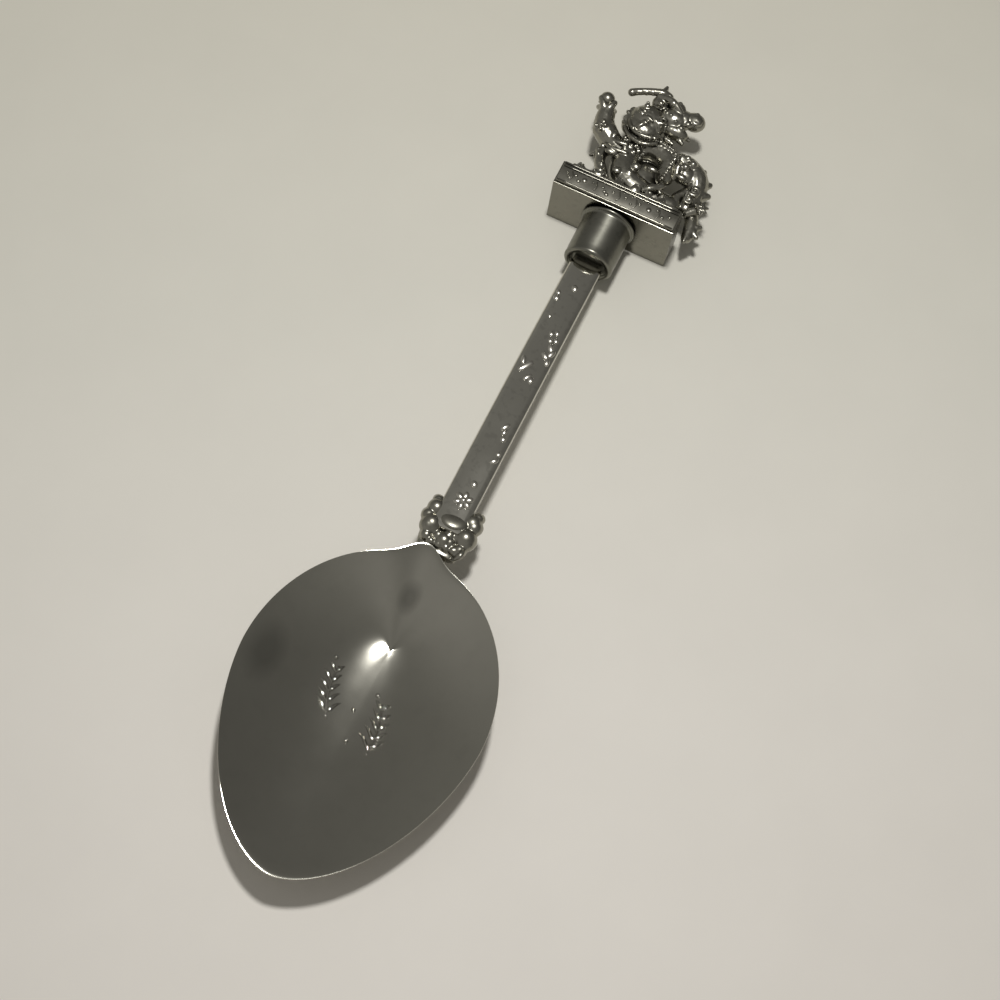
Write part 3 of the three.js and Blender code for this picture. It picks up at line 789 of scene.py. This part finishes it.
def rounded_block(shape, low, high, radius):
    """Block with bevelled edges."""
    made = bmesh.new()
    bmesh.ops.create_cube(made, size=1)
    size = Vector(high) - Vector(low)
    centre = (Vector(high) + Vector(low)) / 2
    for vert in made.verts:
        vert.co = Vector((vert.co[i] * size[i] + centre[i] for i in range(3)))
    bmesh.ops.bevel(made, geom=list(made.edges), offset=radius, segments=3, affect="EDGES", profile=0.5)
    made.verts.index_update()
    shape.add([tuple(vert.co) for vert in made.verts],
              [[vert.index for vert in face.verts] for face in made.faces])
    made.free()


def make_plinth():
    shape = Shape()
    rounded_block(shape, plinth_low, plinth_high, PLINTH_BEVEL)
    obj = new_object("plinth_block", shape)
    obj.data.polygons.foreach_set("use_smooth", [False] * len(obj.data.polygons))
    return finish_piece(obj, "plinth", PLINTH_SILVER_SHADED)


make_plinth()


def make_band():
    """Moulded front: a field with studs and short bars between a single and a double ridge."""
    shape, ridges = Shape(), Shape()
    top, half = band_high[2], band_high[1]
    rounded_block(shape, band_low, (band_high[0], half, top - 0.16), BAND_BEVEL)
    turns = np.linspace(0, 2 * math.pi, 24, endpoint=False)
    for x in (band_low[0] + 0.12, band_high[0] - 0.14, band_high[0] - 0.62):
        loft(ridges, [[(x + RIDGE_HALF_WIDTH * math.cos(turn), float(y),
                        top - RIDGE_HALF_HEIGHT + RIDGE_HALF_HEIGHT * math.sin(turn)) for turn in turns]
                      for y in np.linspace(-half + 0.1, half - 0.1, 13)])
    row = (band_low[0] + band_high[0]) / 2 - 0.2
    for y, shift, radius in STUDS:
        ball(shape, (row + shift, y, top - 0.18), (radius, radius, 0.18), around=16, rows=10)
    for y in BARS:
        tube(shape, [(row - 0.75, y + 0.25, top - 0.18, 0.09), (row, y, top - 0.13, 0.12),
                     (row + 0.7, y + 0.2, top - 0.18, 0.09)], steps=4, around=8)
    finish_piece(new_object("band_ridges", ridges), None, PLINTH_SILVER_SHADED)
    finish_piece(new_object("moulded_band", shape), "front_band", CAST_SILVER)


make_band()


# ------------------------ finial figure
# Points are given on the figure's own axes: up the figure, across, and to the front.

FIGURE_VOXEL, FIGURE_SMOOTHING = 0.10, 4
PIT_DEPTH, PIT_SCALE = 0.02, 2.2
SCALE_SPREAD = 0.9
KNUCKLE_LIFT = (0, 0, 0.25)


def place(point):
    """Figure point (up, across, front, ...) in the spoon's frame."""
    up, across, front, *radius = [value * FIGURE_SCALE for value in point]
    return (FIGURE_X + up, across, AXIS_Z + front, *radius)


def limb(shape, points, steps=6, around=16):
    """Tube through rows up, across, front, radius."""
    tube(shape, [place(point) for point in points], steps=steps, around=around)


def lump(shape, centre, half, around=20, rows=14):
    """Ellipsoid at a figure point; half is one radius or three half axes."""
    half = np.array((half,) * 3 if isinstance(half, (int, float)) else half) * FIGURE_SCALE
    ball(shape, place(centre), half, None, around, rows)


def lumps(shape, centres, half, around=12, rows=8):
    """Equal small lumps at several figure points."""
    for centre in centres:
        lump(shape, centre, half, around, rows)


def spike(shape, root, tip, thick=0.4, bend=(0, 0, 0)):
    """Blunt claw, spine or tuft."""
    middle = [(a + b) / 2 + c for a, b, c in zip(root, tip, bend)]
    limb(shape, [(*root, thick), (*middle, thick * 0.85), (*tip, thick * 0.5)], steps=4, around=10)


def curl(shape, centre, radius, thick, start, turns=1.25):
    """Flat spiral curl facing the front."""
    rows = []
    for t in np.arange(13) / 12:
        turn = start + 2 * math.pi * turns * t
        reach = radius * (1 - 0.78 * t)
        rows.append((centre[0] + reach * math.cos(turn), centre[1] + reach * math.sin(turn), centre[2],
                     thick * (1 - 0.35 * t)))
    limb(shape, rows, steps=2, around=10)


def scales_along(shape, points, pitch, size, columns):
    """Staggered low scales over the front half of a limb."""
    path = smooth_path(points, 10)
    lengths = np.concatenate([[0], np.cumsum(np.linalg.norm(np.diff(path[:, :3], axis=0), axis=1))])
    count = int(lengths[-1] / pitch)
    tangents = np.gradient(path[:, :3], axis=0)
    for row in range(1, count):
        here = [float(np.interp(row * pitch, lengths, path[:, axis])) for axis in range(4)]
        ahead = [float(np.interp(row * pitch, lengths, tangents[:, axis])) for axis in range(3)]
        heading = Vector(ahead).normalized()
        across = heading.cross(Vector((0, 0, 1))).normalized()
        out = across.cross(heading).normalized()
        if out.z < 0:
            out = -out
        for column in range(columns):
            share = (column + (0.5 if row % 2 else 0.0)) / columns
            turn = SCALE_SPREAD * (2 * share - 1) * math.pi / 2
            way = across * math.sin(turn) + out * math.cos(turn)
            centre = Vector(here[:3]) + way * here[3] * 0.96
            lump(shape, tuple(centre), (size, size, size * 0.8), around=10, rows=7)


def cast_piece(name, shape, node, seed):
    """Melts a shape into one lightly pitted casting that stands for a CAD node."""
    obj = new_object(name, shape)
    cast_skin(obj, FIGURE_VOXEL, FIGURE_SMOOTHING)
    pit(obj, PIT_DEPTH, PIT_SCALE, seed)
    return finish_piece(obj, node, CAST_SILVER)


TORSO = ((2.5, -6.2, 0.0, 1.5), (2.4, -2.6, 0.4, 1.8), (3.4, 0.8, 0.5, 2.0), (6.2, 1.9, 0.1, 2.0),
         (8.9, 1.7, 0.0, 1.9), (9.9, -1.0, 0.3, 1.7), (8.5, -3.5, 0.8, 1.5), (5.9, -4.0, 1.0, 1.3))
BACK_RIDGE = ((10.1, -0.8), (10.15, -1.5), (10.0, -2.2), (9.95, -2.9), (9.8, -3.5), (9.3, -4.1),
              (8.6, -4.3), (7.9, -4.2), (7.1, -4.15), (6.3, -4.1), (5.5, -4.0), (4.9, -3.9))


def make_body():
    shape = Shape()
    limb(shape, TORSO, around=20)
    limb(shape, ((8.9, 1.7, 0.0, 1.9), (10.4, 2.0, 0.4, 1.8), (11.8, 2.3, 0.7, 1.6)))
    lump(shape, (5.6, -0.9, -1.4), (3.7, 3.4, 1.3))
    scales_along(shape, TORSO[3:6], columns=4, pitch=0.85, size=0.40)
    for index, (up, across) in enumerate(BACK_RIDGE):
        lump(shape, (up, across, 2.15), 0.40 if index % 2 else 0.32, around=12, rows=8)
    lumps(shape, ((9.6, 3.0, 1.7), (8.9, 3.2, 1.6), (8.1, 3.2, 1.5)), (0.42, 0.42, 0.36))
    # smooth ovals on the chest and belly
    lump(shape, (5.5, -2.2, 2.25), (0.45, 0.85, 0.4))
    lump(shape, (5.8, 4.1, 1.75), (0.5, 0.95, 0.4))
    # chest folds under the raised foreleg
    limb(shape, ((6.7, 5.2, 1.6, 0.28), (6.3, 4.2, 1.9, 0.34), (6.3, 3.1, 2.0, 0.36),
                 (6.3, 2.1, 2.1, 0.28)))
    limb(shape, ((7.8, 4.9, 1.7, 0.3), (7.5, 3.7, 2.0, 0.36), (7.6, 2.6, 2.1, 0.3)))
    # belly bar and its beads, low over the base
    limb(shape, ((1.5, -2.4, 2.8, 0.45), (2.1, -3.2, 3.0, 0.55), (3.2, -4.5, 2.9, 0.42)))
    for up, across in ((2.7, -4.0), (3.2, -4.5), (3.7, -4.3), (2.3, -4.6), (2.0, -2.0)):
        lump(shape, (up, across, 2.6), 0.36, around=12, rows=8)
    for up, across, radius in ((3.6, 0.5, 0.55), (3.1, 2.1, 0.6), (4.9, 0.0, 0.6)):
        lump(shape, (up, across, 2.2), (radius, radius * 1.2, 0.45), around=14, rows=9)
    cast_piece("dragon_trunk", shape, "dragon_body", seed=2)


# Centre and half axes of the head's masses.
HEAD_MASSES = (
    ((13.1, 1.5, 0.8), (2.6, 2.9, 2.2)), ((11.6, 1.7, 0.9), (2.2, 2.6, 1.8)),
    ((14.9, -1.5, 1.3), (1.8, 2.4, 1.6)), ((15.8, -4.3, 1.5), (1.4, 1.6, 1.2)),
    ((13.2, -2.4, 1.1), (1.0, 2.1, 1.2)), ((12.2, 3.7, 0.4), (1.6, 1.2, 1.5)),
    ((16.2, 1.0, 1.8), (1.2, 1.3, 1.0)), ((16.6, -1.4, 1.9), (0.9, 1.2, 0.9)),
    ((17.0, 0.4, 1.6), (0.9, 1.3, 1.1)), ((15.4, -2.9, 1.5), (1.5, 1.3, 1.2)),
)
# Reach from the skull's centre, twist, front and radius along one lock of the mane.
SKULL_UP, SKULL_ACROSS = 12.6, 1.6
MANE_LOCK = ((1.15, 0.0, 2.75, 0.26), (1.9, 0.25, 2.35, 0.34), (2.55, 0.6, 1.5, 0.2))


def make_head():
    shape = Shape()
    for centre, half in HEAD_MASSES:
        lump(shape, centre, half)
    # curled nose tip with its nostril ring
    curl(shape, (15.7, -4.7, 2.3), 0.95, 0.36, 0.4, turns=1.0)
    lump(shape, (13.6, -3.1, 2.1), (0.45, 0.5, 0.4))
    lump(shape, (14.6, -3.7, 2.2), (0.5, 0.55, 0.4))
    # brow ridge and its knobs
    limb(shape, ((16.9, 1.6, 2.4, 0.45), (16.7, 0.2, 2.8, 0.55), (16.3, -0.9, 2.9, 0.55),
                 (15.6, -2.2, 2.5, 0.4)))
    lump(shape, (16.3, -0.7, 3.0), (0.6, 0.65, 0.5))
    lump(shape, (17.0, -1.5, 2.5), (0.36, 0.4, 0.34))
    lump(shape, (15.5, 0.9, 2.9), (0.5, 0.5, 0.42))
    # eye under its lid
    limb(shape, ((12.4, 2.3, 2.7, 0.2), (12.5, 1.6, 3.0, 0.26), (12.2, 0.8, 3.0, 0.2)))
    lump(shape, (11.7, 1.6, 2.75), (0.45, 0.5, 0.4))
    lump(shape, (14.3, 2.4, 2.8), (0.42, 0.5, 0.36))
    # jaw: two smooth lips with a row of teeth between them
    limb(shape, ((11.4, 4.3, 1.3, 0.3), (10.2, 3.9, 1.8, 0.34), (9.1, 2.8, 2.2, 0.34),
                 (8.6, 1.3, 2.4, 0.34), (8.8, 0.0, 2.5, 0.32), (9.5, -1.0, 2.4, 0.28)))
    limb(shape, ((11.6, 3.8, 1.9, 0.26), (10.6, 3.3, 2.3, 0.3), (9.8, 2.3, 2.6, 0.3), (9.6, 1.1, 2.75, 0.3),
                 (9.9, -0.1, 2.7, 0.28), (10.7, -1.0, 2.5, 0.26)))
    for up, across in ((10.2, 2.8), (9.7, 2.1), (9.45, 1.4), (9.4, 0.7), (9.6, 0.0), (10.0, -0.6)):
        lump(shape, (up, across, 2.65), (0.28, 0.25, 0.3), around=10, rows=7)
    for up, across, radius, start in ((13.6, 4.0, 0.8, 2.2), (12.0, 4.3, 0.75, 2.8)):
        curl(shape, (up, across, 1.4), radius, 0.3, start)
    # locks of the mane, combed back from the eye over the round skull
    for lock in range(11):
        way = math.radians(20 + 26 * lock)
        rows = []
        for reach, twist, front, thick in MANE_LOCK:
            rows.append((SKULL_UP + reach * math.sin(way + twist),
                         SKULL_ACROSS + reach * math.cos(way + twist), front, thick))
        tip_up, tip_across = rows[-1][:2]
        if tip_up > 10.6 and tip_across > -0.6:
            limb(shape, rows, steps=4, around=10)
    # mane tufts under the cheek
    for root, tip in (((12.6, -3.2, 1.0), (12.0, -4.2, 1.0)), ((13.4, -3.6, 1.0), (13.0, -4.8, 1.0)),
                      ((11.6, -1.8, 1.2), (11.2, -3.0, 1.3))):
        spike(shape, root, tip, 0.5)
    curl(shape, (13.2, -0.4, 2.7), 0.7, 0.22, 1.0)
    lumps(shape, ((14.0, -2.0, 2.5), (14.5, -1.1, 2.7), (14.8, -0.1, 2.75), (15.2, 2.6, 2.2),
                  (12.9, 3.0, 2.3)), 0.3, around=10, rows=7)
    cast_piece("dragon_mask", shape, "dragon_head", seed=3)


def make_horn():
    shape = Shape()
    limb(shape, ((15.7, 5.3, 2.3, 0.58), (16.2, 4.6, 2.35, 0.52), (17.0, 3.0, 2.4, 0.52),
                 (17.6, 1.3, 2.3, 0.62), (17.3, 0.3, 2.5, 0.6)))
    spike(shape, (17.5, 1.3, 2.3), (18.7, 1.2, 2.4), 0.55)
    for t in (0.25, 0.45, 0.65):
        lump(shape, (15.9 + 1.7 * t, 5.0 - 3.7 * t, 2.4), (0.5, 0.22, 0.5), around=12, rows=8)
    cast_piece("dragon_brow_horn", shape, "dragon_horn", seed=4)


def make_raised_leg():
    shape = Shape()
    limb(shape, ((7.4, 3.4, 0.4, 1.4), (8.2, 5.2, 0.8, 1.6), (9.2, 6.4, 1.0, 1.65), (10.4, 7.0, 1.3, 1.4),
                 (11.6, 7.2, 1.5, 1.25)))
    lump(shape, (8.7, 7.0, 1.3), (1.1, 1.0, 1.0))
    lumps(shape, ((8.7, 7.0, 2.5), (8.5, 7.6, 2.1), (8.8, 6.4, 2.6), (9.3, 6.8, 2.5), (8.1, 6.8, 2.3),
                  (9.1, 7.5, 2.0)), 0.34)
    lump(shape, (8.2, 4.7, 2.2), (0.75, 0.42, 0.4))
    palm = (11.3, 7.3, 1.7)
    for tip in ((12.9, 6.7, 2.4), (12.8, 8.7, 2.4), (12.2, 8.6, 1.0), (12.4, 6.4, 1.2)):
        middle = [(a + b) / 2 + c for a, b, c in zip(palm, tip, KNUCKLE_LIFT)]
        limb(shape, ((*palm, 0.8), (*middle, 0.58), (*tip, 0.42)), steps=3, around=12)
    cast_piece("foreleg_raised", shape, "raised_foreleg", seed=5)


def make_standing_leg():
    shape = Shape()
    limb(shape, ((6.8, 5.0, 0.4, 0.95), (5.6, 5.3, 0.6, 0.85), (4.2, 5.0, 0.8, 0.8), (2.5, 4.0, 1.2, 0.85),
                 (1.5, 3.8, 1.8, 0.8)))
    for across in (2.9, 3.8, 4.7):
        limb(shape, ((1.5, 3.8, 1.8, 0.6), (1.35, (3.8 + across) / 2, 2.6, 0.5), (1.1, across, 3.0, 0.32)),
             steps=3, around=12)
    lumps(shape, ((6.6, 5.6, 1.1), (5.8, 5.9, 1.0), (5.0, 5.6, 1.2), (3.4, 4.5, 1.7)), 0.36)
    spike(shape, (5.6, 5.9, 0.5), (4.8, 6.6, 0.4), 0.42)
    cast_piece("foreleg_standing", shape, "standing_foreleg", seed=6)


TAIL_SPINES = (
    ((9.2, -6.0, 0.4), (10.5, -5.8, 0.4), 0.9), ((8.9, -8.0, 0.1), (9.8, -8.5, 0.1), 0.95),
    ((7.6, -9.0, 0.0), (8.3, -10.0, 0.0), 0.95), ((6.1, -9.4, 0.0), (6.5, -10.5, 0.1), 0.9),
    ((4.8, -9.2, 0.0), (4.7, -10.3, 0.0), 0.8),
)
HAUNCH_LUMPS = (((7.7, -5.2, 1.9), 0.6), ((8.1, -6.1, 2.0), 0.6), ((9.2, -6.8, 1.6), 0.7),
                ((10.0, -5.8, 1.3), 0.55), ((9.4, -4.4, 1.5), 0.45))


def make_tail():
    shape = Shape()
    limb(shape, ((3.3, -8.4, -0.2, 1.2), (5.8, -8.7, -0.2, 1.5), (8.0, -8.0, 0.0, 1.8),
                 (9.5, -6.5, 0.4, 1.3), (9.9, -5.0, 0.7, 0.9)))
    lump(shape, (7.6, -6.4, 0.8), (1.5, 1.6, 1.2))
    # the tail's tuft hangs past the end of the plinth
    limb(shape, ((4.0, -9.0, -0.4, 1.0), (2.2, -9.9, -0.5, 0.95), (0.8, -10.2, -0.5, 0.95),
                 (-0.6, -10.3, -0.4, 0.8)))
    for tip in ((-1.5, -10.2, 0.0), (-0.1, -11.5, -0.2), (1.6, -11.4, -0.2)):
        spike(shape, (0.9, -10.2, -0.4), tip, 0.75)
    # smooth oval on the haunch
    lump(shape, (6.4, -6.2, 2.0), (0.45, 0.85, 0.35))
    for root, tip, thick in TAIL_SPINES:
        spike(shape, root, tip, thick)
    for centre, radius in HAUNCH_LUMPS:
        lump(shape, centre, radius, around=14, rows=9)
    curl(shape, (5.6, -8.6, 1.4), 0.8, 0.28, 2.4)
    curl(shape, (4.0, -8.4, 1.2), 0.65, 0.26, 0.6)
    limb(shape, ((8.8, -5.0, 1.4, 0.4), (7.9, -5.0, 1.9, 0.5), (6.9, -5.3, 1.8, 0.45),
                 (6.0, -5.2, 1.4, 0.35)))
    limb(shape, ((5.4, -7.4, 0.2, 0.8), (4.2, -6.8, 0.2, 0.9), (2.9, -6.8, 0.3, 0.9)))
    cast_piece("tail_flame", shape, "dragon_tail", seed=7)


def make_hind_claw():
    shape = Shape()
    palm = (3.5, -10.2, 0.9)
    lump(shape, palm, (0.8, 0.8, 0.7))
    limb(shape, ((2.4, -8.9, 0.4, 0.6), (*palm, 0.7)))
    for tip in ((4.6, -10.7, 1.3), (4.0, -11.3, 1.2), (3.1, -11.3, 1.4), (2.4, -10.7, 1.3),
                (3.3, -9.6, 1.9)):
        spike(shape, palm, tip, 0.42, bend=KNUCKLE_LIFT)
    lump(shape, (3.5, -10.4, 1.7), 0.34)
    cast_piece("claw_hind", shape, "hind_claw", seed=8)


PEARL, PEARL_RING = (13.2, 7.9, 2.0), 0.98


def make_pearl():
    """Guarded pearl in a ring of small beads."""
    shape = Shape()
    up, across, front = PEARL
    lump(shape, PEARL, 1.08, around=40, rows=24)
    for index in range(9):
        turn = 2 * math.pi * index / 9
        bead = (up + PEARL_RING * math.cos(turn), across + PEARL_RING * math.sin(turn), front - 0.45)
        lump(shape, bead, 0.22, around=10, rows=7)
    finish_piece(new_object("guarded_pearl", shape), "pearl", CAST_SILVER)


CLOUD_SCROLLS = (
    (6.5, 1.9, 0.8, 0.6), (4.0, 3.0, 0.55, 2.0), (0.9, 2.8, 0.6, 1.2), (-1.4, 2.9, 0.75, 2.8),
    (-5.4, 2.6, 0.7, 0.2), (-7.0, 1.6, 0.6, 1.8), (-3.4, 2.9, 0.5, 1.0),
)


def make_cloud_base():
    """Cloud-scroll slab under the figure."""
    shape = Shape()
    rounded_block(shape, (FIGURE_X + SOLDER_GAP, -7.7, AXIS_Z - 3.3), (FIGURE_X + 0.8, 7.5, AXIS_Z + 3.3),
                  0.2)
    for across, front, radius, start in CLOUD_SCROLLS:
        lump(shape, (0.9, across, front), (radius, radius, radius * 0.8))
        curl(shape, (1.2, across, front + 0.3), radius, 0.2, start)
    for across, front in ((5.4, -2.2), (2.6, -2.6), (-0.6, -2.5), (-3.6, -2.6), (-6.2, -2.2)):
        lump(shape, (0.9, across, front), (0.6, 0.9, 0.7))
    spike(shape, (0.8, 6.6, 1.6), (2.2, 6.7, 1.4), 0.55)
    for side in (1, -1):
        limb(shape, ((-1.5, side * 4.6, 0, 0.8), (0.5, side * 4.6, 0, 0.85)), steps=2)
    cast_piece("cloud_scrolls", shape, "cloud_base", seed=9)


for build in (make_body, make_head, make_horn, make_raised_leg, make_standing_leg, make_tail,
              make_hind_claw, make_pearl, make_cloud_base):
    build()


# ------------------------ floor, light and camera

TABLE_TURN = math.radians(-27.0)
TABLE_FROM_M, TABLE_TO_M = -0.10, 0.09
# Table colours from the near side to the far side: a painted glow, brighter and pinker near the bowl.
TABLE_GLOW_COLOURS = [(0.0, (0.86, 0.82, 0.77)), (0.35, (0.77, 0.74, 0.69)), (0.65, (0.69, 0.675, 0.61)),
                 (1.0, (0.66, 0.64, 0.56))]
FLOOR_HALF_M = 1.2
LAMP_PLACE, LAMP_SIZE, LAMP_WATTS = (40, 8, 280), 34, 0.49
LAMP_COLOUR = (1.0, 0.985, 0.95)
ROOM_WAY = (-0.5, 0.22, 0.0)
ROOM_COLOURS = [(0.0, (0.115, 0.112, 0.104)), (0.5, (0.22, 0.215, 0.198)), (1.0, (0.35, 0.34, 0.318))]
CAMERA_PLACE = (-115.11, -30.91, 253.17)
CAMERA_RIGHT, CAMERA_UP = (0.41785, -0.90434, 0.08697), (0.81423, 0.41524, 0.40571)
LENS, SENSOR = 79.2, 36.0


def table_material():
    """Pale laminate with faint mottling, its colour painted brighter and pinker towards the near side: a
    painted glow of light on the table.
    """
    material = bpy.data.materials.new("table")
    material.use_nodes = True
    tree = material.node_tree
    tree.nodes.clear()
    output = tree.nodes.new("ShaderNodeOutputMaterial")
    shader = add_node(tree, "ShaderNodeBsdfPrincipled", roughness=0.55)
    link(tree, shader.outputs["BSDF"], output.inputs["Surface"])
    place = tree.nodes.new("ShaderNodeTexCoord").outputs["Object"]
    turn = add_node(tree, "ShaderNodeMapping", rotation=(0.0, 0.0, TABLE_TURN))
    link(tree, place, turn.inputs["Vector"])
    split = tree.nodes.new("ShaderNodeSeparateXYZ")
    link(tree, turn.outputs["Vector"], split.inputs["Vector"])
    spread = add_node(tree, "ShaderNodeMapRange")
    for name, value in (("From Min", TABLE_FROM_M), ("From Max", TABLE_TO_M), ("To Min", 0.0),
                        ("To Max", 1.0)):
        spread.inputs[name].default_value = value
    link(tree, split.outputs["X"], spread.inputs["Value"])
    # The near side is painted brighter: a painted glow of light on the table.
    base = ramp(tree, spread.outputs["Result"], TABLE_GLOW_COLOURS)
    mottling = ramp(tree, noise_field(tree, place, 60.0, 6.0, 0.6), [(0.3, 0.97), (0.7, 1.0)])
    colour = mix_colour(tree, "MULTIPLY", 1.0, base, mottling)
    link(tree, colour, shader.inputs["Base Color"])
    return material


def make_floor():
    bm = bmesh.new()
    bmesh.ops.create_grid(bm, x_segments=40, y_segments=40, size=FLOOR_HALF_M)
    mesh = bpy.data.meshes.new("table_top")
    bm.to_mesh(mesh)
    bm.free()
    floor = bpy.data.objects.new("table_top", mesh)
    bpy.context.scene.collection.objects.link(floor)
    mesh.materials.append(table_material())


def make_lamp():
    """One small round lamp above the spoon, aimed at its middle."""
    data = bpy.data.lights.new("lamp", "AREA")
    data.shape = "DISK"
    data.size = LAMP_SIZE * MM
    data.energy = LAMP_WATTS
    data.color = LAMP_COLOUR
    obj = bpy.data.objects.new("lamp", data)
    obj.location = Vector(LAMP_PLACE) * MM
    obj.rotation_euler = (-Vector(LAMP_PLACE)).to_track_quat("-Z", "Y").to_euler()
    bpy.context.scene.collection.objects.link(obj)


def make_world():
    """Dim room, lighter towards the bowl's tip side and darker towards the finial."""
    world = bpy.data.worlds.new("room")
    world.use_nodes = True
    tree = world.node_tree
    background = tree.nodes["Background"]
    way = tree.nodes.new("ShaderNodeTexCoord").outputs["Generated"]
    weigh = add_node(tree, "ShaderNodeVectorMath", operation="DOT_PRODUCT")
    weigh.inputs[1].default_value = ROOM_WAY
    link(tree, way, weigh.inputs[0])
    middle = add_node(tree, "ShaderNodeMath", operation="ADD")
    middle.inputs[1].default_value = 0.5
    link(tree, weigh.outputs["Value"], middle.inputs[0])
    link(tree, ramp(tree, middle.outputs["Value"], ROOM_COLOURS), background.inputs["Color"])
    background.inputs["Strength"].default_value = 1.0
    bpy.context.scene.world = world


def make_camera():
    data = bpy.data.cameras.new("camera")
    data.sensor_width = SENSOR
    data.lens = LENS
    data.clip_start = 0.01
    obj = bpy.data.objects.new("camera", data)
    up = Vector(CAMERA_UP)
    back = Vector(CAMERA_RIGHT).cross(up).normalized()
    right = up.cross(back).normalized()
    turn = Matrix((right, up, back)).transposed()
    obj.matrix_world = Matrix.Translation(Vector(CAMERA_PLACE) * MM) @ turn.to_4x4()
    bpy.context.scene.collection.objects.link(obj)
    bpy.context.scene.camera = obj


make_floor()
make_world()
make_lamp()
make_camera()

scene = bpy.context.scene
scene.view_settings.view_transform = "Standard"
scene.view_settings.look = "None"
scene.view_settings.exposure = 0.0
